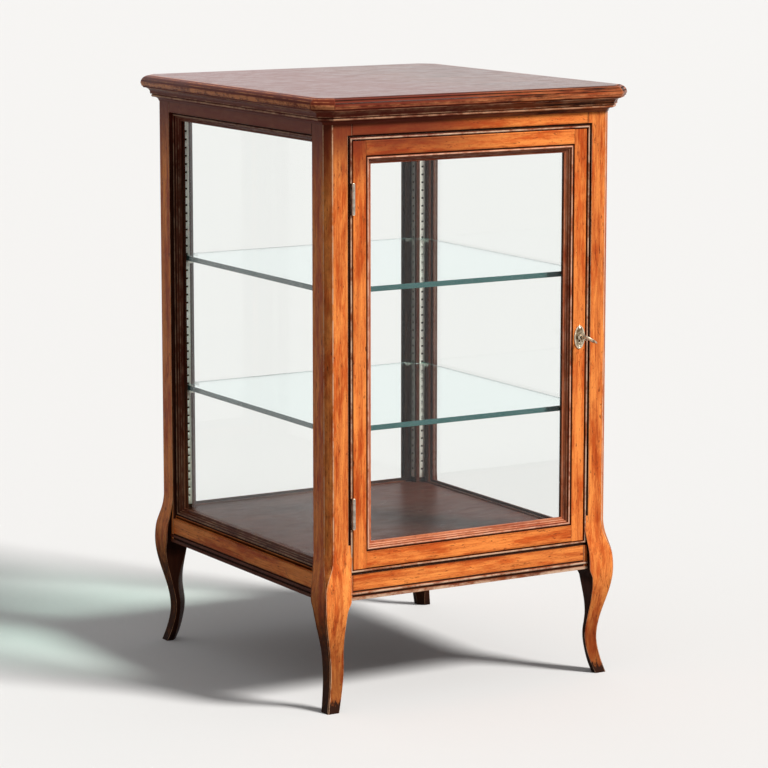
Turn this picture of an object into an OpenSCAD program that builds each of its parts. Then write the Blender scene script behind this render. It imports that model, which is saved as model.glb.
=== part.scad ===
// Glazed display cabinet on cabriole legs: four canted posts that run down into the legs, rails
// tenoned between them, glass on all sides, two glass shelves on brass strips, and one door
// hung on butt hinges at its left with a cupboard lock at its right. The front faces -Y.
// The origin is on the floor, under the middle of the case.

/* [Case] */
// Width over the outer faces of the posts
case_w = 490; // [440:1:560]
// Depth over the outer faces of the posts
case_d = 534; // [480:1:600]
// Height from the floor to the top
case_h = 900; // [860:1:960]
// Side of the square posts
post_w = 42; // [40:0.5:46]
// Leg of the 45 degree cant on each post's outer corner
post_cant = 10; // [7:0.5:12]
// Gap left for glue round a tenon
glue_line = 0.1; // [0.05:0.05:0.3]

/* [Legs] */
// Height of the open legs under the rails
leg_clear = 166; // [150:1:190]
// How far the knee swells out past the post
knee_out = 8.2; // [4:0.2:11]
// How far above the rails' lower edge the swell begins
knee_rise = 82; // [70:1:100]
// Height of the ankle
ankle_h = 54; // [45:1:65]
// How far the ankle's outer face stands in from the post's
ankle_in = 9.5; // [6:0.5:12]
// Thickness of the ankle
ankle_t = 23.5; // [21:0.5:27]
// Thickness of the foot where it meets the floor
foot_t = 19.5; // [17:0.5:22]
// Thickness taken off the leg's inner corner at the ankle
ankle_chamfer = 16; // [8:0.5:16]
// Width of the knee where it meets the aprons
knee_w = 36; // [34:0.5:38]

/* [Rails] */
// Height of the apron rails, without the mould under the door
apron_h = 37; // [32:1:44]
// Height of the frieze rails
frieze_h = 39; // [36:1:46]
// Thickness of the side and rear rails
rail_t = 26; // [24:0.5:30]
// Thickness of the door, and of the front rails
door_t = 22; // [20:0.5:24]
// Length of the rail tenons
tenon_l = 17; // [12:1:18]
// Thickness of the rail tenons
tenon_t = 8; // [6:0.5:9]
// Set-back of the tenons from the outer face
tenon_set = 9; // [8:0.5:10]
// Height of the bead and cove along the foot of each apron
foot_mould_h = 14; // [10:0.5:16]

/* [Top] */
// Thickness of the top board
top_t = 16.5; // [14:0.5:20]
// Overhang of the top's rounded nose
nose_out = 26.8; // [24:0.2:30]
// Overhang of the flat part of the top
flat_out = 13.5; // [11:0.5:16]
// Height of the cavetto under the top
cavetto_h = 12; // [10:0.5:13]
// Overhang of the cavetto's foot
cavetto_in = 13.2; // [12:0.2:15]
// Overhang of the cavetto's upper end
cavetto_out = 23.2; // [21:0.2:24]
// Height of the necking bead and cove
necking_h = 11; // [10:0.5:12]
// Overhang of the necking bead
necking_out = 11.4; // [9:0.2:11.6]

/* [Glazing] */
// Thickness of the panes
pane_t = 4; // [3:0.5:5]
// Width of the moulding round each pane
sash_w = 13; // [11:0.5:15]
// Depth of the moulding in front of each pane
sash_d = 12; // [10:0.5:13]
// Set-back of the fixed panes' moulding from the outer face
sash_set = 4.6; // [3:0.2:6]
// Height of the rail's set-back upper step under a fixed pane
sill_step = 5; // [3:0.5:8]
// Thickness of the inner beads that hold the fixed panes
bead_t = 5; // [4:0.5:6]
// Clearance round a pane's edge
pane_gap = 1; // [0.5:0.1:1.5]
// Width of the bead and hollow round the door opening
frame_bead_w = 7; // [6:0.5:8]
// Depth of the rebate that holds it
frame_bead_d = 4; // [3.5:0.5:5]

/* [Door] */
// Gap at the hinge side
hinge_gap = 1.5; // [1.4:0.1:2]
// Gap at the lock side
lock_gap = 1.8; // [1.4:0.1:2.4]
// Gap above and below the door
end_gap = 1.4; // [1:0.1:2]
// Width of the stiles and the top rail, without the moulding
stile_w = 21.5; // [20.5:0.5:26]
// Height of the bottom rail, without the moulding
bottom_rail_h = 24.6; // [22:0.1:32]
// Rounding of the door's outer edges
door_edge = 1.4; // [0.8:0.1:2]
// Length of the door's tenons
door_tenon_l = 14; // [10:0.5:16]
// Thickness of the door's tenons
door_tenon_t = 7; // [6:0.5:8]

/* [Hinges] */
// Height of each butt hinge
hinge_h = 44; // [38:1:50]
// Distance from the door's end to the hinge
hinge_inset = 61; // [50:1:80]
// Radius of the knuckles
knuckle_r = 2.6; // [2.4:0.1:2.8]
// Radius of the hinge pin
pin_r = 1.3; // [1.1:0.1:1.4]
// How far the pin stands in front of the door
pin_out = 2.9; // [2.8:0.1:3.4]
// Width of the leaves
leaf_w = 15; // [13:0.5:17]
// Thickness of the leaves
leaf_t = 1.3; // [1.2:0.1:1.4]
// Running clearance between moving metal parts
run_fit = 0.06; // [0.04:0.01:0.08]
// End clearance between knuckles
knuckle_gap = 0.2; // [0.15:0.05:0.3]

/* [Lock] */
// Distance from the door's edge to the key
backset = 10.6; // [10.2:0.1:11]
// Height of the lock case
lock_h = 44; // [40:1:50]
// Thickness of the lock case
lock_t = 10; // [9.5:0.5:11]
// Thickness of its sheet metal
lock_sheet = 1.2; // [1:0.1:1.3]
// Travel of the bolt
bolt_throw = 7; // [6:0.5:7]
// Height of the bolt
bolt_h = 10.3; // [9:0.1:11]
// Thickness of the bolt
bolt_t = 4; // [3:0.5:4]
// Radius swept by the key's bit
bit_r = 7; // [6.6:0.1:7]
// Radius of the key's stem
stem_r = 2.5; // [2.2:0.1:2.7]
// Reach of the key in front of the door
key_out = 37.5; // [32:0.5:38]
// Width of the key's bow
bow_w = 26; // [22:0.5:28]
// Turn of the bow below the level in the closed, unlocked door
bow_tilt = 31; // [25:1:35]
// Width of the escutcheon
plate_w = 18.6; // [17:0.2:20]
// Height of the escutcheon
plate_h = 35.5; // [30:0.5:40]

/* [Shelves] */
// Thickness of the glass shelves
shelf_t = 8; // [6:0.5:9]
// Slot, counted from below, that carries the lower shelf
lower_slot = 13; // [6:1:20]
// Slot, counted from below, that carries the upper shelf
upper_slot = 29; // [24:1:38]
// Distance between the strips' slots
slot_pitch = 12.8; // [12:0.2:14]
// Width of the metal strips
strip_w = 10; // [9:0.5:11]
// Thickness of the metal strips
strip_t = 1.6; // [1.2:0.2:2]
// Distance from the post's inner face to the strip's middle
strip_back = 11; // [10:0.5:11]
// Gap between a shelf and the side beads
shelf_gap = 0.9; // [0.5:0.1:2]
// Set-back of a shelf's front edge behind the door
shelf_front = 10; // [9:0.5:14]
// Thickness of the bottom board
board_t = 12; // [10:0.5:15]

/* [Hidden] */
$fn = 48;

open_z0 = leg_clear + apron_h + frame_bead_w;
top_z0 = case_h - top_t;
frieze_z0 = top_z0 - frieze_h;
open_z1 = frieze_z0 - frame_bead_w;
sill_z = leg_clear + apron_h + sill_step;
board_z1 = open_z0 + 6;
door_x0 = post_w + hinge_gap;
door_x1 = case_w - post_w - lock_gap;
door_z0 = open_z0 + end_gap;
door_z1 = open_z1 - end_gap;
pin_x = post_w + hinge_gap / 2;
hinge_zs = [door_z0 + hinge_inset, door_z1 - hinge_inset - hinge_h];
key_x = door_x1 - backset;
key_z = (door_z0 + door_z1) / 2;
strip_set = post_w - strip_back;
strip_z0 = board_z1 + 8;
strip_z1 = open_z1 - 2;
slot_first = 14;
slot_count = floor((strip_z1 - strip_z0 - 2 * slot_first) / slot_pitch) + 1;
slot_w = 4;
slot_h = 3;
lug_t = 2;
clip_w = strip_w - 1;
clip_plate = 1.4;
clip_reach = 12;
foot_mould_d = 3;
mitre_lap = 0.01;
cleat_w = 14;
screw_r = 1.9;
screw_l = 12;
board_clear = 0.3;
stop_w = 12;
stop_t = 8;
leaf_screw_l = 13;
lock_w = stile_w - 1;
selvedge_h = 56;
bolt_low = 4.7;
bolt_y0 = door_t - lock_t + lock_sheet + 1.6;
strike_d = 9.5;
strike_h = 36;
strike_y0 = bolt_y0 - 2.8;
strike_z = key_z + bolt_low + bolt_h / 2;
strike_screw_zs = [strike_z - strike_h / 2 + 4.5, strike_z + strike_h / 2 - 4.5];
drill_r = 1.2;
stem_end = door_t - 3;
plate_t = 1.4;
notch_w = 6.8;
bow_h = 16;
bow_t = 2.8;
sides = ["front", "right", "rear", "left"];
wood = "sienna";
dark_wood = "saddlebrown";
metal = "darkkhaki";

// Smooth step from 0 to 1 while x runs from a to b
function ease(x, a, b) = let(t = min(1, max(0, (x - a) / (b - a)))) (1 - cos(180 * t)) / 2;

// Points of an arc, from angle a0 to a1
function arc(c, r, a0, a1, n = 8) = [for (i = [0:n]) let(a = a0 + (a1 - a0) * i / n)
    [c[0] + r * cos(a), c[1] + r * sin(a)]];

// Plan of the case, offset outwards by o, with its canted corners
function outline(o) = let(k = post_cant + (2 - sqrt(2)) * o, x = case_w / 2 + o, y = case_d / 2 + o)
    [[k - x, -y], [x - k, -y], [x, k - y], [x, y - k], [x - k, y], [k - x, y], [-x, y - k], [-x, k - y]];

// Points of an ellipse
function ellipse(w, h, n = 40) = [for (i = [0:n - 1]) [w / 2 * cos(360 * i / n), h / 2 * sin(360 * i / n)]];

// Solid through a list of rings that all have the same number of points
module loft(rings) {
    n = len(rings[0]);
    m = len(rings);
    points = [for (ring = rings) each ring];
    sides = [for (r = [0:m - 2], i = [0:n - 1]) let(j = (i + 1) % n)
        each [[r * n + i, (r + 1) * n + i, (r + 1) * n + j], [r * n + i, (r + 1) * n + j, r * n + j]]];
    first = [for (i = [0:n - 1]) i];
    last = [for (i = [0:n - 1]) m * n - 1 - i];
    polyhedron(points = points, faces = concat([first, last], sides), convexity = 6);
}

// Stands a drawing of one face in its place: x runs along the face, y up, and -z into the case
module on_face(side) {
    if (side == "front") translate([-case_w / 2, -case_d / 2, 0]) rotate([90, 0, 0]) children();
    if (side == "right") translate([case_w / 2, -case_d / 2, 0]) rotate([90, 0, 90]) children();
    if (side == "rear") translate([case_w / 2, case_d / 2, 0]) rotate([90, 0, 180]) children();
    if (side == "left") translate([-case_w / 2, case_d / 2, 0]) rotate([90, 0, -90]) children();
}
function span(side) = (side == "left" || side == "right") ? case_d : case_w;

// Puts a post's drawing, made from its outer corner inwards, at its corner of the case
module at_post(right, rear) {
    mirror([right ? 1 : 0, 0, 0]) mirror([0, rear ? 1 : 0, 0])
        translate([-case_w / 2, -case_d / 2, 0]) children();
}

// A strip of moulding along x; its section's points are [across, out of the face]
module run(length, section) {
    rotate([90, 0, 90]) linear_extrude(length) polygon(section);
}

// Four mitred strips w wide round a rectangle [x0, y0, x1, y1] on a face, each a hair longer
// than its mitres so that they join. The section's points are [distance inwards from the
// rectangle, depth below the face].
module mitred_frame(rect, w, section) {
    size = [rect[2] - rect[0], rect[3] - rect[1]];
    depth = max([for (p = section) p[1]]) + 1;
    for (i = [0:3]) {
        length = size[i % 2];
        translate([i == 1 || i == 2 ? rect[2] : rect[0], i > 1 ? rect[3] : rect[1], 0])
            rotate([0, 0, 90 * i]) intersection() {
                run(length, [for (p = section) [p[0], -p[1]]]);
                translate([0, 0, -depth]) linear_extrude(2 * depth)
                    polygon([[0, 0], [length, 0], [length - w + mitre_lap, w], [w - mitre_lap, w]]);
            }
    }
}

// Eight mitred runs w wide round the canted plan of the case. The section's points are
// [overhang, height].
module mitred_ring(w, section) {
    inner = outline(0);
    outer = outline(w);
    for (i = [0:7]) {
        j = (i + 1) % 8;
        way = inner[j] - inner[i];
        lap = mitre_lap * way / norm(way);
        intersection() {
            translate(inner[i]) rotate([0, 0, atan2(way[1], way[0])]) translate([-w, 0, 0])
                run(norm(way) + 2 * w, [for (p = section) [-p[0], p[1]]]);
            translate([0, 0, case_h / 2]) linear_extrude(case_h)
                polygon([inner[i] - lap, inner[j] + lap, outer[j] + lap, outer[i] - lap]);
        }
    }
}

// Legs. The leg's section is a square whose outer faces move out by leg_swell, with its outer
// corner canted and its inner corner taken off towards the ankle.
knee_z = leg_clear;
swell_z = leg_clear + knee_rise;
leg_steps = 30;
function leg_swell(z) = z >= knee_z ? -0.4 + (knee_out + 0.4) * (1 - ease(z, knee_z, swell_z))
    : z >= ankle_h ? -ankle_in + (knee_out + ankle_in) * ease(z, ankle_h, knee_z)
    : -ankle_in + (ankle_in + 1) * pow(1 - z / ankle_h, 1.6);
function leg_thick(z) = z >= ankle_h + 16
    ? ankle_t + (post_w - ankle_t) * ease(z, ankle_h + 16, knee_z + 24)
    : foot_t + (ankle_t - foot_t) * z / (ankle_h + 16);
function leg_depth(z) = leg_thick(z) - leg_swell(z);
function leg_face(z) = z >= knee_z ? min(post_w - 0.4, max(knee_w, leg_depth(z)))
    : leg_depth(z) + (knee_w - leg_depth(knee_z)) * ease(z, knee_z - 16, knee_z);
function leg_cant(z) = 1.6 + (post_cant - 1.6) * ease(z, knee_z + 18, knee_z + 60);
function leg_inner(z) = 0.8 + (ankle_chamfer - 0.8) * (1 - ease(z, ankle_h + 30, knee_z - 12))
    - (ankle_chamfer * 0.44) * (1 - ease(z, 0, ankle_h));
function leg_ring(z) = let(e = leg_swell(z), t = leg_face(z), c = leg_cant(z), k = leg_inner(z))
    [[c - e, -e, z], [t, -e, z], [t, t - k, z], [t - k, t, z], [-e, t, z], [-e, c - e, z]];

module leg() {
    loft([for (i = [0:leg_steps]) leg_ring(swell_z * i / leg_steps)]);
}

// Section of a post above the legs
module post_section() {
    polygon([[post_cant, 0], [post_w, 0], [post_w, post_w], [0, post_w], [0, post_cant]]);
}

// Sockets for the rails' tenons, in the face that looks along the front or rear of the case
module post_mortises() {
    for (z = [leg_clear + 5, frieze_z0 + 5]) {
        h = z < case_h / 2 ? apron_h - 8 : frieze_h - 10;
        for (turn = [0, 1]) mirror([turn, -turn, 0])
            translate([post_w - tenon_l - glue_line, tenon_set - glue_line, z - glue_line])
                cube([tenon_l + 1, tenon_t + 2 * glue_line, h + 2 * glue_line]);
    }
}

// Groove for a shelf strip, in the face that looks along the side of the case
module strip_groove() {
    translate([strip_set - strip_w / 2 - glue_line, post_w - strip_t - glue_line, strip_z0 - glue_line])
        cube([strip_w + 2 * glue_line, strip_t + 1, strip_z1 - strip_z0 + 2 * glue_line]);
}

// Rebate for the moulding along the foot of the apron, on both outer faces
module foot_rebate() {
    for (turn = [0, 1]) mirror([turn, -turn, 0])
        translate([knee_w, -knee_out - 1, leg_clear - 1])
            cube([post_w, knee_out + 1 + foot_mould_d, foot_mould_h + 1]);
}

module post_body() {
    difference() {
        union() {
            translate([0, 0, leg_clear]) linear_extrude(top_z0 - leg_clear) post_section();
            leg();
        }
        post_mortises();
        foot_rebate();
        strip_groove();
        children();
    }
}

// Rebate on a front post for the bead round the door opening
module opening_rebate() {
    translate([post_w - frame_bead_w, -knee_out - 1, leg_clear + apron_h])
        cube([frame_bead_w + 1, knee_out + 1 + frame_bead_d, frieze_z0 - leg_clear - apron_h]);
}

module post_front_left() {
    color(wood) at_post(false, false) post_body() {
        opening_rebate();
        for (z = hinge_zs) {
            translate([post_w - leaf_t - glue_line, -1, z - glue_line])
                cube([leaf_t + 1, leaf_w - pin_out + 1 + glue_line, hinge_h + 2 * glue_line]);
            leaf_screws(z, -1, run_fit);
        }
    }
}

module post_front_right() {
    color(wood) at_post(true, false) post_body() {
        opening_rebate();
        translate([post_w - lock_sheet - glue_line, strike_y0 - glue_line, strike_z - strike_h / 2 - glue_line])
            cube([lock_sheet + 1, strike_d + 2 * glue_line, strike_h + 2 * glue_line]);
        translate([post_w - bolt_throw - 1, bolt_y0 - 1, key_z + bolt_low - 1])
            cube([bolt_throw + 2, bolt_t + 2, bolt_h + 2]);
        strike_screw_set(run_fit);
    }
}

module rear_strip_groove() {
    mirror([1, -1, 0]) strip_groove();
}

module post_rear_left() {
    color(wood) at_post(false, true) post_body() rear_strip_groove();
}

module post_rear_right() {
    color(wood) at_post(true, true) post_body() rear_strip_groove();
}

// A rail between two posts with its tenons, drawn on its face
module rail(side, z0, h, t, tenon_z, tenon_h) {
    length = span(side) - 2 * post_w;
    translate([post_w, z0, -t]) cube([length, h, t]);
    translate([post_w - tenon_l, tenon_z, -tenon_set - tenon_t])
        cube([length + 2 * tenon_l, tenon_h, tenon_t]);
}

module frieze_rail(side) {
    front = side == "front";
    low = front ? open_z1 : frieze_z0;
    color(wood) on_face(side) difference() {
        rail(side, low, top_z0 - low, front ? door_t : rail_t, frieze_z0 + 5, frieze_h - 10);
        if (front) translate([0, low - 1, -frame_bead_d])
            cube([case_w, frame_bead_w + 1, frame_bead_d + 1]);
    }
}

module frieze_rail_front() { frieze_rail("front"); }
module frieze_rail_left() { frieze_rail("left"); }
module frieze_rail_right() { frieze_rail("right"); }
module frieze_rail_rear() { frieze_rail("rear"); }

// An apron rail has a rebate along its foot for the moulding; at the front its top edge is
// rebated for the opening bead, and elsewhere the step under the pane is set back
module apron_rail(side) {
    front = side == "front";
    high = front ? open_z0 : sill_z;
    step_h = front ? frame_bead_w : sill_step;
    step_d = front ? frame_bead_d : sash_set;
    color(wood) on_face(side) difference() {
        rail(side, leg_clear, high - leg_clear, front ? door_t : rail_t, leg_clear + 5, apron_h - 8);
        translate([0, high - step_h, -step_d]) cube([span(side), step_h + 1, step_d + 1]);
        translate([0, leg_clear - 1, -foot_mould_d]) cube([span(side), foot_mould_h + 1, foot_mould_d + 1]);
    }
}

module apron_rail_front() { apron_rail("front"); }
module apron_rail_left() { apron_rail("left"); }
module apron_rail_right() { apron_rail("right"); }
module apron_rail_rear() { apron_rail("rear"); }

// Fillet, quirk and bead along the foot of the aprons, from knee to knee; section points are
// [height, how far the point stands out from the face]
module apron_moulding() {
    bead_r = 2.2;
    bead_y = foot_mould_h - 4.4;
    section = concat(
        [[0, -foot_mould_d], [0, 1.4], [bead_y - 5, 1.4], [bead_y - 4.2, -0.6], [bead_y - bead_r - 0.3, -0.6]],
        arc([bead_y, -0.2], bead_r, 180, 0, 8),
        [[bead_y + bead_r + 0.4, -1], [foot_mould_h - 0.9, -1], [foot_mould_h, 0], [foot_mould_h, -foot_mould_d]]);
    color(wood) for (side = sides) on_face(side)
        translate([knee_w, leg_clear, 0]) run(span(side) - 2 * knee_w, section);
}

// Bead and hollow round the door opening, planted in a rebate; the left strip is cut away
// where the hinges' knuckles stand
module opening_bead() {
    bead_r = 1.75;
    section = concat(
        [[0, frame_bead_d], [0, 1.2], [0.5, 1.7]],
        arc([1.9, 1.4], 1.3, 150, 30, 4),
        arc([frame_bead_w - bead_r, 1.1], bead_r, 180, 360, 8),
        [[frame_bead_w, frame_bead_d]]);
    rect = [post_w - frame_bead_w, leg_clear + apron_h, case_w - post_w + frame_bead_w, frieze_z0];
    color(dark_wood) on_face("front") difference() {
        mitred_frame(rect, frame_bead_w, section);
        for (z = hinge_zs) translate([rect[0] - 1, z - 1, -frame_bead_d - 1])
            cube([frame_bead_w + 1.5, hinge_h + 2, frame_bead_d + 3]);
    }
}

// Section of the moulding round a pane: quirk, bead, cyma and fillet
function sash_section(set) = let(r = 1.6, x0 = 5.6, x1 = sash_w - 1.7, d0 = 3.2, d1 = sash_d - 3.6) concat(
    [[0, set + sash_d], [0, set + 1.9], [2.2, set + 1.9]],
    arc([2.3 + r, set + 2.1], r, 180, 360, 6),
    [for (i = [0:7]) let(x = x0 + (x1 - x0) * i / 7) [x, set + d0 + (d1 - d0) * ease(x, x0, x1)]],
    [[sash_w, set + d1], [sash_w, set + sash_d]]);

// Rectangle that a fixed pane and its moulding fill, on its face
function light(side) = [post_w, sill_z, span(side) - post_w, frieze_z0];

module glazing_moulding(side) {
    color(dark_wood) on_face(side) mitred_frame(light(side), sash_w, sash_section(sash_set));
}
module glazing_moulding_left() { glazing_moulding("left"); }
module glazing_moulding_right() { glazing_moulding("right"); }
module glazing_moulding_rear() { glazing_moulding("rear"); }

// A pane that fills a rectangle, with its outer face at the given depth
module pane(rect, depth) {
    color("lightcyan", 0.4) translate([rect[0] + pane_gap, rect[1] + pane_gap, -depth - pane_t])
        cube([rect[2] - rect[0] - 2 * pane_gap, rect[3] - rect[1] - 2 * pane_gap, pane_t]);
}
module pane_left() { on_face("left") pane(light("left"), sash_set + sash_d); }
module pane_right() { on_face("right") pane(light("right"), sash_set + sash_d); }
module pane_rear() { on_face("rear") pane(light("rear"), sash_set + sash_d); }

// Inner bead behind a pane, with one rounded arris
function bead_section(depth, t, w) = concat([[0, depth + t], [0, depth], [w, depth]],
    arc([w - 2, depth + t - 2], 2, 0, 90, 4));

module glazing_bead(side) {
    color(dark_wood) on_face(side)
        mitred_frame(light(side), sash_w - 3, bead_section(sash_set + sash_d + pane_t, bead_t, sash_w - 3));
}
module glazing_bead_left() { glazing_bead("left"); }
module glazing_bead_right() { glazing_bead("right"); }
module glazing_bead_rear() { glazing_bead("rear"); }

// Top board with its thumb-moulded edge, bored from below for the cleats' screws
module top_board() {
    nose_z = case_h - 11.5;
    edge = concat(
        [[nose_out - 2.6, top_z0], [nose_out - 1.3, top_z0 + 0.8]],
        arc([nose_out - 2.6, nose_z], 2.6, -60, -20, 2),
        [for (i = [0:9]) let(a = 90 * i / 9)
            [flat_out + (nose_out - flat_out) * cos(a), nose_z + (case_h - nose_z) * sin(a)]]);
    color(wood) difference() {
        loft([for (p = edge) [for (q = outline(p[0])) [q[0], q[1], p[1]]]]);
        for (side = sides, x = cleat_screws(side))
            on_face(side) cleat_screw(x, side, run_fit);
    }
}

// Quarter ellipse round a centre, hollow towards it; the points run upwards and outwards
function cove(c, w, h, n = 7) = [for (i = [0:n]) let(a = 90 * i / n) [c[0] - w * cos(a), c[1] + h * sin(a)]];

// Cavetto under the top
module cornice_moulding() {
    z0 = top_z0 - cavetto_h;
    fillet = 2.5;
    lip = 2;
    section = concat([[0, z0], [cavetto_in, z0]],
        cove([cavetto_out, z0 + fillet], cavetto_out - cavetto_in, cavetto_h - fillet - lip),
        [[cavetto_out, top_z0], [0, top_z0]]);
    color(wood) mitred_ring(cavetto_out, section);
}

// Bead and cove where the cornice meets the posts and friezes
module necking_moulding() {
    z1 = top_z0 - cavetto_h;
    z0 = z1 - necking_h;
    r = 2.2;
    bead_x = necking_out - r;
    section = concat([[0, z0]],
        cove([bead_x - 0.7, z0], bead_x - 1.5, necking_h - 2 * r - 0.6),
        arc([bead_x, z1 - r - 0.5], r, -90, 90, 7),
        [[bead_x, z1], [0, z1]]);
    color(dark_wood) mitred_ring(necking_out, section);
}

// Cleats that hold the top to the frieze rails, and their screws
function cleat_depth(side) = side == "front" ? door_t : rail_t;
function cleat_screws(side) = [for (k = [1:3]) span(side) * k / 4];
module cleat_screw(x, side, grow = 0) {
    translate([x, top_z0 - cleat_w, -cleat_depth(side) - cleat_w / 2]) rotate([-90, 0, 0]) {
        cylinder(h = cleat_w + 11 + grow, r = screw_r + grow);
        cylinder(h = 2, r1 = 3.8 + grow, r2 = screw_r + grow);
    }
}
module cleats(z) {
    for (side = sides)
        on_face(side) translate([post_w + 16, z, -cleat_depth(side) - cleat_w])
            cube([span(side) - 2 * post_w - 32, cleat_w, cleat_w]);
}
module top_cleats() {
    color(dark_wood) difference() {
        cleats(top_z0 - cleat_w);
        for (side = sides, x = cleat_screws(side))
            on_face(side) cleat_screw(x, side, run_fit);
    }
}
module top_screws() {
    color("gray") for (side = sides, x = cleat_screws(side))
        on_face(side) cleat_screw(x, side);
}

// Bottom board, notched round the posts, on cleats along the aprons
module bottom_screw(x, side, grow = 0) {
    translate([x, board_z1 - board_t - cleat_w, -cleat_depth(side) - cleat_w / 2]) rotate([-90, 0, 0]) {
        cylinder(h = cleat_w + board_t - 3 + grow, r = screw_r + grow);
        cylinder(h = 2, r1 = 3.8 + grow, r2 = screw_r + grow);
    }
}
module bottom_board() {
    side_in = rail_t + board_clear;
    front_in = door_t + board_clear;
    notch = post_w + board_clear;
    color(wood) difference() {
        translate([-case_w / 2, -case_d / 2, board_z1 - board_t]) linear_extrude(board_t) difference() {
            translate([side_in, front_in]) square([case_w - 2 * side_in, case_d - front_in - side_in]);
            for (x = [0, case_w - notch], y = [0, case_d - notch]) translate([x, y]) square(notch);
            translate([case_w - post_w - stop_w - board_clear, 0]) square([stop_w + 1, door_t + stop_t + 0.6]);
        }
        for (side = sides, x = cleat_screws(side))
            on_face(side) bottom_screw(x, side, run_fit);
    }
}
module bottom_cleats() {
    color(dark_wood) difference() {
        cleats(board_z1 - board_t - cleat_w);
        for (side = sides, x = cleat_screws(side))
            on_face(side) bottom_screw(x, side, run_fit);
    }
}
module bottom_screws() {
    color("gray") for (side = sides, x = cleat_screws(side))
        on_face(side) bottom_screw(x, side);
}

// Stop on the right post, behind the door's closing stile; it stands in a notch of the board
module door_stop() {
    z0 = board_z1 - board_t;
    color(dark_wood) on_face("front") translate([case_w - post_w - stop_w, z0, -door_t - 0.3 - stop_t])
        cube([stop_w, open_z1 - z0, stop_t]);
}

// Slotted strips let into the posts
module strip() {
    difference() {
        cube([strip_w, strip_t, strip_z1 - strip_z0]);
        for (i = [0:slot_count - 1]) translate([(strip_w - slot_w) / 2, -1, slot_first - slot_h / 2 + i * slot_pitch])
            cube([slot_w, strip_t + 2, slot_h]);
    }
}
module side_strip() {
    translate([strip_set - strip_w / 2, post_w - strip_t, strip_z0]) strip();
}
module shelf_strips_front() {
    color(metal) for (right = [false, true]) at_post(right, false) side_strip();
}
module shelf_strips_rear() {
    color(metal) for (right = [false, true]) at_post(right, true) {
        side_strip();
        mirror([1, -1, 0]) side_strip();
    }
}

// Clips: a tongue in a slot, a plate against the strip and a lug under the glass
function slot_z(slot) = strip_z0 + slot_first + slot * slot_pitch;
function lug_z(slot) = slot_z(slot) + slot_h / 2 + 2;
module clip(slot) {
    z = slot_z(slot);
    translate([strip_set - clip_w / 2, post_w, 0]) {
        translate([0, 0, lug_z(slot) - lug_t]) cube([clip_w, clip_reach, lug_t]);
        translate([0, 0, z - 6]) cube([clip_w, clip_plate, lug_z(slot) - z + 6]);
        translate([0, clip_reach - clip_plate, lug_z(slot) - lug_t - 2]) cube([clip_w, clip_plate, 3]);
    }
    translate([strip_set - slot_w / 2 + 0.2, post_w - strip_t, z - slot_h / 2])
        cube([slot_w - 0.4, strip_t + 0.5, slot_h - 0.4]);
}
module shelf_clips(slot) {
    color(metal) for (right = [false, true], rear = [false, true]) at_post(right, rear) {
        clip(slot);
        if (rear) mirror([1, -1, 0]) clip(slot);
    }
}
module shelf_clips_lower() { shelf_clips(lower_slot); }
module shelf_clips_upper() { shelf_clips(upper_slot); }

// Glass shelf with polished edges and its corners cut round the posts
module shelf(slot) {
    edge_in = sash_set + sash_d + pane_t + bead_t + shelf_gap;
    front_in = door_t + shelf_front;
    notch = post_w + 1.5;
    color("paleturquoise", 0.5) translate([-case_w / 2, -case_d / 2, lug_z(slot)])
        linear_extrude(shelf_t) difference() {
            translate([edge_in, front_in]) square([case_w - 2 * edge_in, case_d - front_in - edge_in]);
            for (x = [0, case_w - notch], y = [0, case_d - notch]) translate([x, y]) square(notch);
        }
}
module shelf_lower() { shelf(lower_slot); }
module shelf_upper() { shelf(upper_slot); }

// Butt hinges. Knuckles 0, 2 and 4 belong to the post's leaf, 1 and 3 to the door's.
function knuckle_z(z, k) = z + k * hinge_h / 5;
// The three countersunk screws of a leaf; way is -1 into the post and 1 into the door
module leaf_screws(z, way, grow = 0) {
    for (k = [1, 3, 5]) translate([pin_x + way * hinge_gap / 2, leaf_w - pin_out - 5, z + hinge_h * k / 6])
        rotate([0, 90 * way, 0]) {
            cylinder(h = leaf_screw_l, r = 1.2 + grow);
            cylinder(h = 1.2, r1 = 2.4 + grow, r2 = 1.2 + grow);
        }
}
module leaf(z, way, mine, bore) {
    others = [for (k = [0:4]) if (len(search(k, mine)) == 0) k];
    x = way > 0 ? pin_x + hinge_gap / 2 : pin_x - hinge_gap / 2 - leaf_t;
    difference() {
        union() {
            translate([x, -pin_out, z]) cube([leaf_t, leaf_w, hinge_h]);
            for (k = mine) translate([pin_x, -pin_out, knuckle_z(z, k)])
                cylinder(h = hinge_h / 5 - (k < 4 ? knuckle_gap : 0), r = knuckle_r);
        }
        for (k = others) translate([pin_x - 4, -pin_out - 4, knuckle_z(z, k) - knuckle_gap])
            cube([8, 4 + knuckle_r + 0.2, hinge_h / 5 + knuckle_gap]);
        translate([pin_x, -pin_out, z - 1]) cylinder(h = hinge_h + 2, r = bore);
        leaf_screws(z, way, run_fit);
    }
}
module in_front_corner() { translate([-case_w / 2, -case_d / 2, 0]) children(); }
module hinge_post_leaves() {
    color(metal) in_front_corner() for (z = hinge_zs) leaf(z, -1, [0, 2, 4], pin_r + 0.02);
}
module hinge_door_leaves() {
    color(metal) in_front_corner() for (z = hinge_zs) leaf(z, 1, [1, 3], pin_r + run_fit);
}
module hinge_pins() {
    color(metal) in_front_corner() for (z = hinge_zs) translate([pin_x, -pin_out, z]) {
        translate([0, 0, -1.2]) cylinder(h = 1.2, r = 2);
        cylinder(h = hinge_h, r = pin_r);
        translate([0, 0, hinge_h]) cylinder(h = 1, r = 2.1);
        translate([0, 0, hinge_h + 1]) cylinder(h = 0.8, r1 = 2.1, r2 = 1);
    }
}
module hinge_post_screws() {
    color("gray") in_front_corner() for (z = hinge_zs) leaf_screws(z, -1);
}
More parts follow.
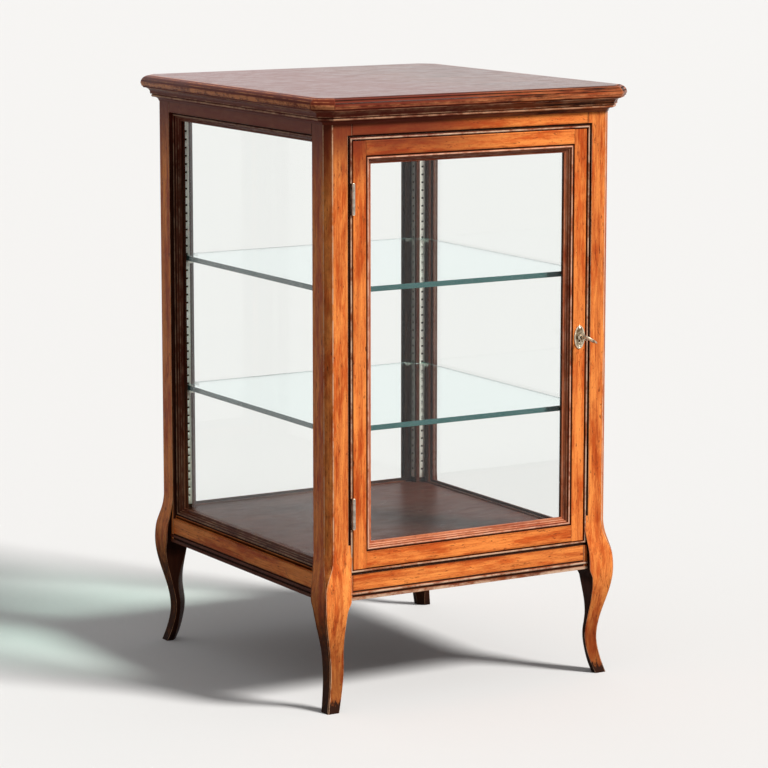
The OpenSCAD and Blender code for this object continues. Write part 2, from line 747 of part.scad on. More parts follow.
module hinge_door_screws() {
    color("gray") in_front_corner() for (z = hinge_zs) leaf_screws(z, 1);
}

// Strike plate in the right post, and its screws
module strike_screw_set(grow = 0) {
    for (z = strike_screw_zs) translate([post_w, strike_y0 + strike_d / 2, z]) rotate([0, -90, 0]) {
        cylinder(h = screw_l, r = 1.2 + grow);
        cylinder(h = 1.1, r1 = 2.3 + grow, r2 = 1.2 + grow);
    }
}
module strike_plate() {
    color(metal) at_post(true, false) difference() {
        translate([post_w - lock_sheet, strike_y0, strike_z - strike_h / 2])
            cube([lock_sheet, strike_d, strike_h]);
        translate([post_w - lock_sheet - 1, bolt_y0 - 0.6, key_z + bolt_low - 0.6])
            cube([lock_sheet + 2, bolt_t + 1.2, bolt_h + 1.2]);
        strike_screw_set(run_fit);
    }
}
module strike_screws() {
    color("gray") at_post(true, false) strike_screw_set();
}

// Door frame, drawn on the front face. The stiles run through, and the rails are tenoned.
door_rect = [door_x0, door_z0, door_x1, door_z1];
light_rect = [door_x0 + stile_w, door_z0 + bottom_rail_h, door_x1 - stile_w, door_z1 - stile_w];

// Outer edge section of a door member that is w wide: flat, with one rounded outer arris
module member(length, w, t) {
    rotate([90, 0, 90]) linear_extrude(length)
        polygon(concat([[w, 0], [w, -t], [0, -t]], [for (a = [0:22.5:90])
            [door_edge * (1 - cos(a)), -door_edge * (1 - sin(a))]]));
}
module door_tenons(grow) {
    for (z = [door_z0 + 4, door_z1 - stile_w + 3]) {
        h = z < case_h / 2 ? bottom_rail_h - 8 : stile_w - 7;
        translate([light_rect[0] - door_tenon_l - grow, z - grow, -(door_t + door_tenon_t) / 2 - grow])
            cube([light_rect[2] - light_rect[0] + 2 * (door_tenon_l + grow), h + 2 * grow, door_tenon_t + 2 * grow]);
    }
}
module door_stile_left() {
    color(wood) on_face("front") difference() {
        translate([door_x0, door_z1, 0]) rotate([0, 0, -90]) member(door_z1 - door_z0, stile_w, door_t);
        door_tenons(glue_line);
        for (z = hinge_zs) translate([door_x0 - 1, z - glue_line, pin_out - leaf_w - glue_line])
            cube([leaf_t + glue_line + 1, hinge_h + 2 * glue_line, leaf_w]);
        rotate([-90, 0, 0]) for (z = hinge_zs) leaf_screws(z, 1, run_fit);
    }
}
module door_stile_right() {
    color(wood) on_face("front") difference() {
        translate([door_x1, door_z0, 0]) rotate([0, 0, 90]) member(door_z1 - door_z0, stile_w, door_t);
        door_tenons(glue_line);
        rotate([-90, 0, 0]) {
            lock_body(glue_line);
            selvedge(glue_line);
            lock_screw_set(run_fit);
            keyhole(-1, door_t + 1, 0.2);
            escutcheon_pin_set(run_fit);
        }
    }
}
module door_rail_top() {
    color(wood) on_face("front") {
        translate([light_rect[2], door_z1, 0]) rotate([0, 0, 180])
            member(light_rect[2] - light_rect[0], stile_w, door_t);
        intersection() {
            door_tenons(0);
            translate([0, case_h / 2, -door_t]) cube([case_w, case_h, door_t]);
        }
    }
}
module door_rail_bottom() {
    color(wood) on_face("front") {
        translate([light_rect[0], door_z0, 0]) member(light_rect[2] - light_rect[0], bottom_rail_h, door_t);
        intersection() {
            door_tenons(0);
            translate([0, 0, -door_t]) cube([case_w, case_h / 2, door_t]);
        }
    }
}
module door_moulding() {
    color(dark_wood) on_face("front") mitred_frame(light_rect, sash_w, sash_section(0));
}
module door_pane() {
    on_face("front") pane(light_rect, sash_d);
}
module door_glazing_bead() {
    color(dark_wood) on_face("front")
        mitred_frame(light_rect, sash_w - 3, bead_section(sash_d + pane_t, door_t - sash_d - pane_t, sash_w - 3));
}

// Cupboard lock in the back of the right stile. All of it is drawn from the case's front left
// corner, with y as depth from the door's face.
module lock_body(grow = 0) {
    translate([door_x1 - lock_w - grow, door_t - lock_t - grow, key_z - lock_h / 2 - grow])
        cube([lock_w + 2 * grow, lock_t + 2 * grow, lock_h + 2 * grow]);
}
module selvedge(grow = 0) {
    translate([door_x1 - lock_sheet - grow, door_t - lock_t - grow, key_z - selvedge_h / 2 - grow])
        cube([lock_sheet + 2 * grow, lock_t + 2 * grow, selvedge_h + 2 * grow]);
}
// Keyhole: a round hole for the stem over a slot for the bit
module keyhole(y0, y1, grow = 0) {
    slot = 2.6 + 2 * grow;
    translate([key_x, y0, key_z]) rotate([-90, 0, 0]) cylinder(h = y1 - y0, r = stem_r + 0.3 + grow);
    translate([key_x - slot / 2, y0, key_z - bit_r - 0.6 - grow]) cube([slot, y1 - y0, bit_r]);
}
module lock_screw_set(grow = 0) {
    for (z = [-1, 1]) translate([door_x1, door_t - lock_t / 2, key_z + z * (selvedge_h / 2 - 3)])
        rotate([0, -90, 0]) {
            cylinder(h = screw_l, r = 1.1 + grow);
            cylinder(h = 1.1, r1 = 2.2 + grow, r2 = 1.1 + grow);
        }
}
module lock_case() {
    inner = lock_sheet;
    color(metal) in_front_corner() difference() {
        union() {
            lock_body();
            selvedge();
        }
        translate([door_x1 - lock_w + inner, door_t - lock_t + inner, key_z - lock_h / 2 + inner])
            cube([lock_w - 2 * inner, lock_t, lock_h - 2 * inner]);
        translate([door_x1 - 2 * inner, bolt_y0 - 0.2, key_z + bolt_low - 0.2])
            cube([3 * inner, bolt_t + 0.4, bolt_h + 0.4]);
        keyhole(door_t - lock_t - 1, door_t - lock_t + inner + 0.5);
        lock_screw_set(run_fit);
    }
}
// Cover of the case, with the drill pin that the key turns on
module lock_cap() {
    inner = lock_sheet;
    color(metal) in_front_corner() {
        translate([door_x1 - lock_w + inner, door_t - inner, key_z - lock_h / 2 + inner])
            cube([lock_w - 2 * inner, inner, lock_h - 2 * inner]);
        translate([key_x, stem_end - 8.5, key_z]) rotate([-90, 0, 0])
            cylinder(h = door_t - inner - stem_end + 9, r = drill_r);
    }
}
module lock_screws() {
    color("gray") in_front_corner() lock_screw_set();
}

// Oval escutcheon with a raised rim, and its two pins
module escutcheon_pin_set(grow = 0) {
    for (z = [-1, 1]) translate([key_x, -plate_t - 0.6, key_z + z * (plate_h / 2 - 4.2)])
        rotate([-90, 0, 0]) {
            translate([0, 0, 0.6 - grow]) cylinder(h = plate_t + 6 + 2 * grow, r = 0.7 + grow);
            if (grow == 0) cylinder(h = 0.6, r = 1.3);
        }
}
module escutcheon() {
    color(metal) in_front_corner() difference() {
        translate([key_x, 0, key_z]) rotate([90, 0, 0]) {
            linear_extrude(plate_t) polygon(ellipse(plate_w, plate_h));
            linear_extrude(plate_t + 0.5) difference() {
                polygon(ellipse(plate_w - 1.2, plate_h - 1.2));
                polygon(ellipse(plate_w - 4.2, plate_h - 4.2));
            }
        }
        keyhole(-plate_t - 1, 1);
        escutcheon_pin_set(run_fit);
    }
}
module escutcheon_pins() {
    color(metal) in_front_corner() escutcheon_pin_set();
}

// Bolt with the notch that the bit turns in
module lock_bolt() {
    x0 = key_x - 8.2;
    x1 = door_x1 - 0.2;
    color("silver") in_front_corner() difference() {
        translate([x0, bolt_y0, key_z + bolt_low]) cube([x1 - x0, bolt_t, bolt_h]);
        translate([key_x - bolt_throw / 2 - notch_w / 2, bolt_y0 - 1, key_z + bolt_low - 1])
            cube([notch_w, bolt_t + 2, bit_r + 0.6 - bolt_low + 1]);
    }
}

// Barrel key, drawn with its stem on z and its bow in the xz plane, then turned to rest
module key() {
    rest_turn = 90 - bow_tilt;
    color("silver") in_front_corner() translate([key_x, 0, key_z])
        rotate([0, -rest_turn, 0]) rotate([90, 0, 0]) difference() {
            union() {
                translate([0, 0, -stem_end]) cylinder(h = stem_end + key_out - bow_h + 1.6, r = stem_r);
                translate([0, 0, plate_t + 1]) cylinder(h = 4.5, r = stem_r + 1.6);
                translate([0, 0, key_out - bow_h - 3]) cylinder(h = 2, r = stem_r + 0.8);
                translate([0, 0, key_out - bow_h / 2]) rotate([0, 90, 0])
                    translate([0, 0, -bow_t / 2]) linear_extrude(bow_t) difference() {
                        polygon(ellipse(bow_h, bow_w));
                        polygon(ellipse(bow_h - 7, bow_w - 8));
                    }
                translate([-1, 0, -stem_end + 0.2]) cube([2, bit_r, bolt_t]);
            }
            translate([0, 0, -stem_end - 1]) cylinder(h = 10.5, r = drill_r + run_fit);
        }
}

post_front_left();
post_front_right();
post_rear_left();
post_rear_right();
frieze_rail_front();
frieze_rail_left();
frieze_rail_right();
frieze_rail_rear();
apron_rail_front();
apron_rail_left();
apron_rail_right();
apron_rail_rear();
apron_moulding();
opening_bead();
glazing_moulding_left();
glazing_moulding_right();
glazing_moulding_rear();
pane_left();
pane_right();
pane_rear();
glazing_bead_left();
glazing_bead_right();
glazing_bead_rear();
top_board();
cornice_moulding();
necking_moulding();
top_cleats();
top_screws();
bottom_board();
bottom_cleats();
bottom_screws();
door_stop();
shelf_strips_front();
shelf_strips_rear();
shelf_clips_lower();
shelf_clips_upper();
shelf_lower();
shelf_upper();
hinge_post_leaves();
hinge_pins();
hinge_post_screws();
strike_plate();
strike_screws();
door_stile_left();
door_stile_right();
door_rail_top();
door_rail_bottom();
door_moulding();
door_pane();
door_glazing_bead();
hinge_door_leaves();
hinge_door_screws();
lock_case();
lock_cap();
lock_screws();
escutcheon();
escutcheon_pins();
lock_bolt();
key();
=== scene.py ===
import math

import bmesh
import bpy
from mathutils import Matrix, Vector


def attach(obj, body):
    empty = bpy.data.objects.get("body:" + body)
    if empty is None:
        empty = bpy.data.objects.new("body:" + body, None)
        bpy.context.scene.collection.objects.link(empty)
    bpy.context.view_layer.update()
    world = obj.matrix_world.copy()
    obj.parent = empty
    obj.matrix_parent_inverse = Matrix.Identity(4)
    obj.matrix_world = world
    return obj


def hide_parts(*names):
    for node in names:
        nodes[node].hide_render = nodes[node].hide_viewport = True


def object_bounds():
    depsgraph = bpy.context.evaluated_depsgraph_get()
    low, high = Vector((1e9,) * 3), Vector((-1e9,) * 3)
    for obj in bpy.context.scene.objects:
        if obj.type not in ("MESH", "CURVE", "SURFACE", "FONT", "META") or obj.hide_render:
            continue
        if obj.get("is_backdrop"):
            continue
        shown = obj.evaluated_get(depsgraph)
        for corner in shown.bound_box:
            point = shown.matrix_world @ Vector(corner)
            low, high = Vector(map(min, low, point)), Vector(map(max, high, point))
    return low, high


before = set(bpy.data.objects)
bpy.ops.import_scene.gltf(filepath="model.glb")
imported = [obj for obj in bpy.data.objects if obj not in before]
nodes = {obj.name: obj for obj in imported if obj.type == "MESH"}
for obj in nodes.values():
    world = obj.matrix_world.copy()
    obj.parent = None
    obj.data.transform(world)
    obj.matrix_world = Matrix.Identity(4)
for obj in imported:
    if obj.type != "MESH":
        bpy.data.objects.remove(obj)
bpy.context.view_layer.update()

# The photograph's view
# The camera stands to the left of the front and a little above the top, and looks slightly down
# through a long lens.
TURNED, TILTED, LENS = 30.681, 9.508, 151.25
camera = bpy.data.objects.new("camera", bpy.data.cameras.new("camera"))
bpy.context.scene.collection.objects.link(camera)
camera.location = (-2.5038, -4.2343, 1.2540)
camera.rotation_euler = (math.radians(90 - TILTED), 0, math.radians(-TURNED))
camera.data.sensor_width = 36
camera.data.lens = LENS
bpy.context.scene.camera = camera


# Posts with their cabriole legs
# Each post is one length of red-brown hardwood, stained and polished. Above it is square with a
# canted outer corner that runs out over the knee in a lamb's tongue; below it is a sabre leg
# whose inner corner is taken off at the ankle. Old wax darkens the pores, and arrises are rubbed.
def shade(tree, kind, sockets=(), **settings):
    """A shader node whose sockets are set, or linked where a value comes from another node."""
    node = tree.nodes.new("ShaderNode" + kind)
    for name, value in settings.items():
        setattr(node, name, value)
    for name, value in dict(sockets).items():
        if isinstance(value, bpy.types.NodeSocket):
            tree.links.new(value, node.inputs[name])
        else:
            node.inputs[name].default_value = value
    return node


def effect(name, inputs, outputs):
    """A node group with its group input and output nodes."""
    tree = bpy.data.node_groups.new(name, "ShaderNodeTree")
    for direction, sockets in (("INPUT", inputs), ("OUTPUT", outputs)):
        for label, kind, *value in sockets:
            socket = tree.interface.new_socket(label, in_out=direction, socket_type="NodeSocket" + kind)
            if value:
                socket.default_value = value[0]
    return tree, tree.nodes.new("NodeGroupInput").outputs, tree.nodes.new("NodeGroupOutput").inputs


def stretched_noise(tree, vector, stretch, **sockets):
    """Noise with this many bands to the metre in each direction."""
    moved = shade(tree, "VectorMath", {0: vector, 1: stretch}, operation="MULTIPLY").outputs[0]
    return shade(tree, "TexNoise", {"Vector": moved, "Scale": 1.0, **sockets}).outputs["Fac"]


def level(tree, value, low, high, out_low=0.0, out_high=1.0):
    """Maps low..high to out_low..out_high, smoothly and within those ends."""
    return shade(tree, "MapRange", {"Value": value, "From Min": low, "From Max": high,
                 "To Min": out_low, "To Max": out_high}, interpolation_type="SMOOTHSTEP").outputs[0]


def blend(tree, factor, first, second, way="MIX"):
    mix = shade(tree, "Mix", {"Factor": factor, 6: first, 7: second}, data_type="RGBA", blend_type=way)
    return mix.outputs[2]


def sums(tree, first, second, operation="ADD"):
    return shade(tree, "Math", {0: first, 1: second}, operation=operation, use_clamp=False).outputs[0]


def swing(tree, value, amount):
    """How far a value lies from one half, times an amount."""
    return sums(tree, sums(tree, value, 0.5, "SUBTRACT"), amount, "MULTIPLY")


# The timber's look: bands of figure along the grain, then stains, pores, wax and wear over them, and painted
# shade and highlights.
# Relief runs from -1 in the quirks, where wax and dirt stay and shade is painted black, to 1 on the arrises,
# which are rubbed and painted as highlights.
RED_CLOUD, DARK_FLECK, OLD_WAX = (0.66, 0.37, 0.29, 1), (0.13, 0.022, 0.010, 1), (0.06, 0.014, 0.006, 1)
DARK_TOWARD_FLOOR, BLACK_WAX_AND_SHADE = (0.022, 0.008, 0.005, 1), (0.014, 0.005, 0.003, 1)
PAINTED_TOP_SHADE = (0.15, 0.024, 0.014, 1)
timber, given, gives = effect("Polished timber", [
    ("Grain", "Vector"), ("Relief", "Float", 0.0), ("Place", "Vector"), ("Pale", "Color"),
    ("Deep", "Color"), ("Rubbed", "Color"), ("Contrast", "Float", 1.0)],
    [("Color", "Color"), ("Roughness", "Float"), ("Height", "Float")])
grain = given["Grain"]
figure = stretched_noise(timber, grain, (6, 130, 130), Detail=6.0, Roughness=0.66, Distortion=0.12)
streak = stretched_noise(timber, grain, (26, 640, 640), Detail=3.0, Roughness=0.7)
drift = stretched_noise(timber, grain, (5, 16, 16), Detail=3.0, Roughness=0.55)
fleck = stretched_noise(timber, grain, (70, 300, 300), Detail=4.0, Roughness=0.75)
pores = stretched_noise(timber, grain, (260, 2600, 2600), Detail=2.0)
blot = stretched_noise(timber, grain, (24, 110, 110), Detail=5.0, Roughness=0.75)
rub = stretched_noise(timber, grain, (34, 60, 60), Detail=5.0, Roughness=0.75)
cloud = stretched_noise(timber, grain, (11, 62, 62), Detail=4.0, Roughness=0.7)
tone = sums(timber, level(timber, figure, 0.16, 0.74, 0.05, 0.95), swing(timber, streak, 1.5))
tone = sums(timber, tone, swing(timber, drift, 0.9))
tone = sums(timber, swing(timber, tone, given["Contrast"]), 0.5)
timber_color = blend(timber, tone, given["Deep"], given["Pale"])
timber_color = blend(timber, level(timber, cloud, 0.42, 0.64, 0, 0.95), timber_color, RED_CLOUD, "MULTIPLY")
timber_color = blend(timber, level(timber, fleck, 0.59, 0.68, 0, 0.85), timber_color, DARK_FLECK)
pore_mask = level(timber, pores, 0.56, 0.68)
timber_color = blend(timber, sums(timber, pore_mask, 0.3, "MULTIPLY"), timber_color, OLD_WAX)
timber_color = blend(timber, level(timber, blot, 0.585, 0.72, 0, 0.65), timber_color, OLD_WAX)
raised = sums(timber, given["Relief"], level(timber, rub, 0.3, 0.7, 0.2, 1.2), "MULTIPLY")
raised = level(timber, raised, 0.12, 0.95)
sunken = sums(timber, given["Relief"], level(timber, rub, 0.3, 0.7, 1.2, 0.75), "MULTIPLY")
sunken = level(timber, sunken, -0.08, -0.85)
# The feet grow darker towards the floor, and painted shade darkens the top of the case towards the left.
spot = shade(timber, "SeparateXYZ", {"Vector": given["Place"]}).outputs
uneven = swing(timber, rub, 0.07)
patchy = sums(timber, uneven, spot["Z"])
foot = sums(timber, level(timber, patchy, 0.17, 0.03, 0, 0.62), level(timber, patchy, 0.020, 0.004, 0, 0.7))
timber_color = blend(timber, foot, timber_color, DARK_TOWARD_FLOOR)
# Painted shade: the top of the case, towards the left, is coloured darker.
high_up = level(timber, patchy, 0.745, 0.86, 0, 0.93)
leftward = level(timber, sums(timber, uneven, spot["X"]), -0.09, 0.12, 1, 0.05)
timber_color = blend(timber, sums(timber, high_up, leftward, "MULTIPLY"), timber_color, PAINTED_TOP_SHADE)
# Wear and painted highlights pale the raised relief; wax and painted shade blacken the sunken relief.
timber_color = blend(timber, sums(timber, raised, 0.9, "MULTIPLY"), timber_color, given["Rubbed"])
timber_color = blend(timber, sums(timber, sunken, 0.95, "MULTIPLY"), timber_color, BLACK_WAX_AND_SHADE)
timber.links.new(timber_color, gives["Color"])
gloss = sums(timber, level(timber, rub, 0.25, 0.8, 0.26, 0.44), sums(timber, sunken, 0.35, "MULTIPLY"))
timber.links.new(gloss, gives["Roughness"])
height = sums(timber, sums(timber, pore_mask, -0.6, "MULTIPLY"), sums(timber, drift, 1.2, "MULTIPLY"))
timber.links.new(height, gives["Height"])


def surface(name, **values):
    """A material with one Principled shader."""
    material = bpy.data.materials.new(name)
    material.use_nodes = True
    tree = material.node_tree
    shader = tree.nodes["Principled BSDF"]
    for label, value in values.items():
        shader.inputs[label.replace("_", " ")].default_value = value
    return material, tree, shader


def wood(name, pale, deep, rubbed, coat=0.02, sheen=0.14, tint=(1.0, 0.5, 0.28), contrast=1.0):
    """Timber that reads each piece's own grain and relief; its rubbed colour also paints highlights."""
    material, tree, shader = surface(name, Coat_Weight=coat, Coat_Roughness=0.12, IOR=1.46,
                                     Specular_IOR_Level=sheen, Specular_Tint=(*tint, 1))
    look = shade(tree, "Group", {}, node_tree=timber)
    tree.links.new(shade(tree, "Attribute", attribute_name="grain").outputs["Vector"], look.inputs["Grain"])
    tree.links.new(shade(tree, "Attribute", attribute_name="relief").outputs["Fac"], look.inputs["Relief"])
    tree.links.new(shade(tree, "TexCoord").outputs["Object"], look.inputs["Place"])
    look.inputs["Pale"].default_value = (*pale, 1)
    look.inputs["Deep"].default_value = (*deep, 1)
    look.inputs["Rubbed"].default_value = (*rubbed, 1)
    look.inputs["Contrast"].default_value = contrast
    bump = shade(tree, "Bump", {"Height": look.outputs["Height"], "Strength": 0.25, "Distance": 0.0004})
    tree.links.new(look.outputs["Color"], shader.inputs["Base Color"])
    tree.links.new(look.outputs["Roughness"], shader.inputs["Roughness"])
    tree.links.new(bump.outputs[0], shader.inputs["Normal"])
    return material


RUBBED_AND_HIGHLIGHT = (0.74, 0.44, 0.27)
case_wood = wood("case_wood", (1.0, 0.335, 0.078), (0.50, 0.096, 0.021), RUBBED_AND_HIGHLIGHT, sheen=0.08)
# Painted shade: faces inside the case, the inner faces of posts and legs among them, are coloured dark.
shaded_inside_wood = wood("shaded_inside_wood", (0.10, 0.030, 0.016), (0.034, 0.011, 0.007), (0.3, 0.16, 0.09),
                   coat=0, sheen=0.05)

# Pieces are drawn in millimetres from the floor under the case's front left corner, x along the
# front, y to the back and z up, and are then settled in the frame in metres.
CASE_W, CASE_D = 490, 534
POST, CANT, TOP_Z, SILL_Z, HEAD_Z = 42, 10, 883.5, 203, 844.5
KNEE_Z, SWELL_Z, ANKLE_Z = 166, 248, 54
TO_FRAME = Matrix.Scale(0.001, 4) @ Matrix.Translation((-CASE_W / 2, -CASE_D / 2, 0))


def lay_grain(bm, faces, along, seed):
    """Gives the faces' corners their place in the timber: first along the grain, then across it."""
    layer = bm.loops.layers.float_vector.get("grain") or bm.loops.layers.float_vector.new("grain")
    along = Vector(along).normalized()
    side = Vector((1, 0, 0)) if abs(along.z) > 0.9 else Vector((0, 0, 1))
    across = along.cross(side)
    shift = Vector((math.sin(seed * 7.3) * 3, math.sin(seed * 3.1) * 0.7, math.cos(seed * 5.7) * 0.7))
    for loop in [loop for face in faces for loop in face.loops]:
        co = loop.vert.co
        loop[layer] = Vector((co.dot(along), co.dot(side), co.dot(across))) * 0.001 + shift


def ease(bm, edges, width, segments=2, worn=0.9):
    """Rounds arrises and marks the new faces as rubbed."""
    relief = bm.loops.layers.float.get("relief") or bm.loops.layers.float.new("relief")
    made = bmesh.ops.bevel(bm, geom=edges, offset=width, offset_type="OFFSET", segments=segments,
                           profile=0.5, affect="EDGES", material=-1, clamp_overlap=True)
    for face in made["faces"]:
        for loop in face.loops:
            loop[relief] = worn


def face_outward(bm):
    """Turns the faces of every closed part outward."""
    bmesh.ops.recalc_face_normals(bm, faces=bm.faces)
    left = set(bm.faces)
    while left:
        part, reached = [], [left.pop()]
        while reached:
            part.append(reached.pop())
            for face in {f for e in part[-1].edges for f in e.link_faces} & left:
                left.discard(face)
                reached.append(face)
        if sum(f.calc_center_median().dot(f.normal) * f.calc_area() for f in part) < 0:
            bmesh.ops.reverse_faces(bm, faces=part)


def settle(bm, name, body, stands_for, *materials, sharp=25, flat_over=None):
    """Makes a drawn piece an object in its place, riding on a body and standing for nodes of the
    construction. Faces over flat_over square millimetres keep crisp borders and shade as flats."""
    face_outward(bm)
    bm.transform(TO_FRAME)
    for face in bm.faces:
        face.smooth = True
    mesh = bpy.data.meshes.new(name)
    bm.to_mesh(mesh)
    bm.free()
    mesh.set_sharp_from_angle(angle=math.radians(sharp))
    if flat_over:
        borders = {key for face in mesh.polygons if face.area > flat_over * 1e-6 for key in face.edge_keys}
        for edge in mesh.edges:
            edge.use_edge_sharp = edge.use_edge_sharp or edge.key in borders
    for material in materials:
        mesh.materials.append(material)
    piece = bpy.data.objects.new(name, mesh)
    bpy.context.scene.collection.objects.link(piece)
    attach(piece, body)
    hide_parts(*stands_for)


def swell(bm, rings):
    """Extrudes a face from ring to ring; every ring has the same number of points."""
    face = bm.faces.new([bm.verts.new(p) for p in rings[0]])
    for before, after in zip(rings, rings[1:]):
        made = bmesh.ops.extrude_face_region(bm, geom=[face])["geom"]
        if before is not rings[0] and face.is_valid:
            bm.faces.remove(face)
        face = next(g for g in made if isinstance(g, bmesh.types.BMFace))
        for v in [g for g in made if isinstance(g, bmesh.types.BMVert)]:
            nearest = min(range(len(before)), key=lambda i: (Vector(before[i]) - v.co).length)
            v.co = after[nearest]


def s_curve(x, a, b):
    """Goes gently from 0 at a to 1 at b."""
    t = min(1, max(0, (x - a) / (b - a)))
    return (1 - math.cos(math.pi * t)) / 2


# How far the leg stands out from the post's faces at its top, its knee, its ankle and its toe, how
# thick it is at the ankle and the foot, and how far in its knee reaches.
TOP_OUT, KNEE_OUT, ANKLE_OUT, TOE_OUT = -0.4, 8.2, -9.5, 1.0
ANKLE_T, FOOT_T, THIN_Z, THICK_Z, KNEE_IN = 23.5, 19.5, 70, 190, 36
# The heights between which the lamb's tongue runs out, and the inner corner is taken off.
TONGUE, TAKEN_OFF = (184, 226), (84, 154)


def leg_swell(z):
    if z >= KNEE_Z:
        return TOP_OUT + (KNEE_OUT - TOP_OUT) * (1 - s_curve(z, KNEE_Z, SWELL_Z))
    if z >= ANKLE_Z:
        return ANKLE_OUT + (KNEE_OUT - ANKLE_OUT) * s_curve(z, ANKLE_Z, KNEE_Z)
    return ANKLE_OUT + (TOE_OUT - ANKLE_OUT) * (1 - z / ANKLE_Z) ** 1.6


def leg_depth(z):
    """How far the leg's inner side lies from the post's face."""
    if z >= THIN_Z:
        return ANKLE_T + (POST - ANKLE_T) * s_curve(z, THIN_Z, THICK_Z) - leg_swell(z)
    return FOOT_T + (ANKLE_T - FOOT_T) * z / THIN_Z - leg_swell(z)


def leg_ring(z):
    """The leg's outline at a height: canted outside, its inner corner taken off below the knee."""
    out = leg_swell(z)
    if z >= KNEE_Z:
        face = min(POST + TOP_OUT, max(KNEE_IN, leg_depth(z)))
    else:
        face = leg_depth(z) + (KNEE_IN - leg_depth(KNEE_Z)) * s_curve(z, KNEE_Z - 16, KNEE_Z)
    cant = 1.6 + (CANT - 1.6) * s_curve(z, *TONGUE)
    inner = 0.8 + 15.2 * (1 - s_curve(z, *TAKEN_OFF)) - 7.04 * (1 - s_curve(z, 0, ANKLE_Z))
    rim = 3.5
    return [(cant - out, -out, z), (cant - out + rim, -out, z), (face - rim, -out, z), (face, -out, z),
            (face, face - inner, z), (face - inner, face, z),
            (-out, face, z), (-out, face - rim, z), (-out, cant - out + rim, z), (-out, cant - out, z)]


def join(bm, part):
    """Adds one drawing to another and frees it."""
    mesh = bpy.data.meshes.new("part")
    part.to_mesh(mesh)
    part.free()
    bm.from_mesh(mesh)
    bpy.data.meshes.remove(mesh)


# The lip before the door's rebate, the rebate's depth, where a post's faces begin to look into the
# case, and the grooves for the slotted strips: from, to and floor.
LIP, REBATE, INNER = 35, 4, 35.9
STRIP_A, STRIP_B, STRIP_Q = 26, 36, 40.4
# The relief of wood along its edges, where old polish has gathered and shade is painted.
POLISH_AND_SHADE = -0.42


def upright(bm, outline, z0, z1, arrises, lit=True):
    """A straight stretch of post, eased along the arrises at these corners of its outline; unless lit, its
    faces into the case get painted shade.
    """
    made = bmesh.new()
    swell(made, [[(p, q, z0) for p, q in outline], [(p, q, z1) for p, q in outline]])
    relief = made.loops.layers.float.new("relief")
    for face in made.faces:
        p, q, _ = face.calc_center_median()
        face.material_index = 1 if not lit and max(p, q) > INNER and min(p, q) > REBATE + 0.1 else 0
        hidden = p > INNER and REBATE - 1 < q < REBATE + 0.1 or abs(max(p, q) - STRIP_Q) < 0.1
        for loop in face.loops:
            corner = tuple(round(v) for v in loop.vert.co.xy)
            edge = corner in ((CANT, 0), (0, CANT), (LIP, 0), (POST, 0), (0, POST))
            loop[relief] = -1 if hidden and not lit else POLISH_AND_SHADE if edge else 0
    for corners, width in arrises:
        edges = [e for e in made.edges if abs(e.verts[0].co.z - e.verts[1].co.z) > 1
                 and any((Vector(c) - e.verts[0].co.xy).length < 0.01 for c in corners)]
        ease(made, edges, width)
    join(bm, made)


left_flat = [(0, POST), (0, POST - 4), (0, CANT + 4), (0, CANT)]
plain = [(CANT, 0), (CANT + 4, 0), (POST - 4, 0), (POST, 0), (POST, POST)] + left_flat
front_cut = [(CANT, 0), (CANT + 4, 0), (LIP - 4, 0), (LIP, 0), (LIP, REBATE), (POST, REBATE), (POST, POST),
             (STRIP_B, POST), (STRIP_B, STRIP_Q), (STRIP_A, STRIP_Q), (STRIP_A, POST)] + left_flat
rear_cut = [(CANT, 0), (CANT + 4, 0), (POST - 4, 0), (POST, 0), (POST, STRIP_A), (STRIP_Q, STRIP_A),
            (STRIP_Q, STRIP_B), (POST, STRIP_B), (POST, POST), (STRIP_B, POST), (STRIP_B, STRIP_Q),
            (STRIP_A, STRIP_Q), (STRIP_A, POST)] + left_flat
# Recesses for the hinges and the strike, with a pocket for the bolt. Each is (from z, to z, how many
# of the outline's points stand before it, the points of the recess).
HINGES, HINGE_H = (272.4, 731.1), 44
LEAF_FLOOR, LEAF_BACK = 40.68, 12.15
PLATE_FLOOR, PLATE_FRONT, PLATE_BACK, PLATE_Z = 40.78, 12, 21.55, (515.55, 551.65)
POCKET_FLOOR, POCKET_Y, POCKET_Z = 34, (13.8, 19.8), (527.45, 539.75)
leaf_cut = [(LEAF_FLOOR, REBATE), (LEAF_FLOOR, LEAF_BACK), (POST, LEAF_BACK)]
hinge_cuts = [(z - 0.1, z + HINGE_H + 0.1, 5, leaf_cut) for z in HINGES]
plate_cut = [(POST, PLATE_FRONT), (PLATE_FLOOR, PLATE_FRONT), (PLATE_FLOOR, PLATE_BACK), (POST, PLATE_BACK)]
pocket = [(PLATE_FLOOR, POCKET_Y[0]), (POCKET_FLOOR, POCKET_Y[0]),
          (POCKET_FLOOR, POCKET_Y[1]), (PLATE_FLOOR, POCKET_Y[1])]
bolt_cut = plate_cut[:2] + pocket + plate_cut[2:]
strike_cuts = [(PLATE_Z[0], POCKET_Z[0], 6, plate_cut), (*POCKET_Z, 6, bolt_cut),
               (POCKET_Z[1], PLATE_Z[1], 6, plate_cut)]
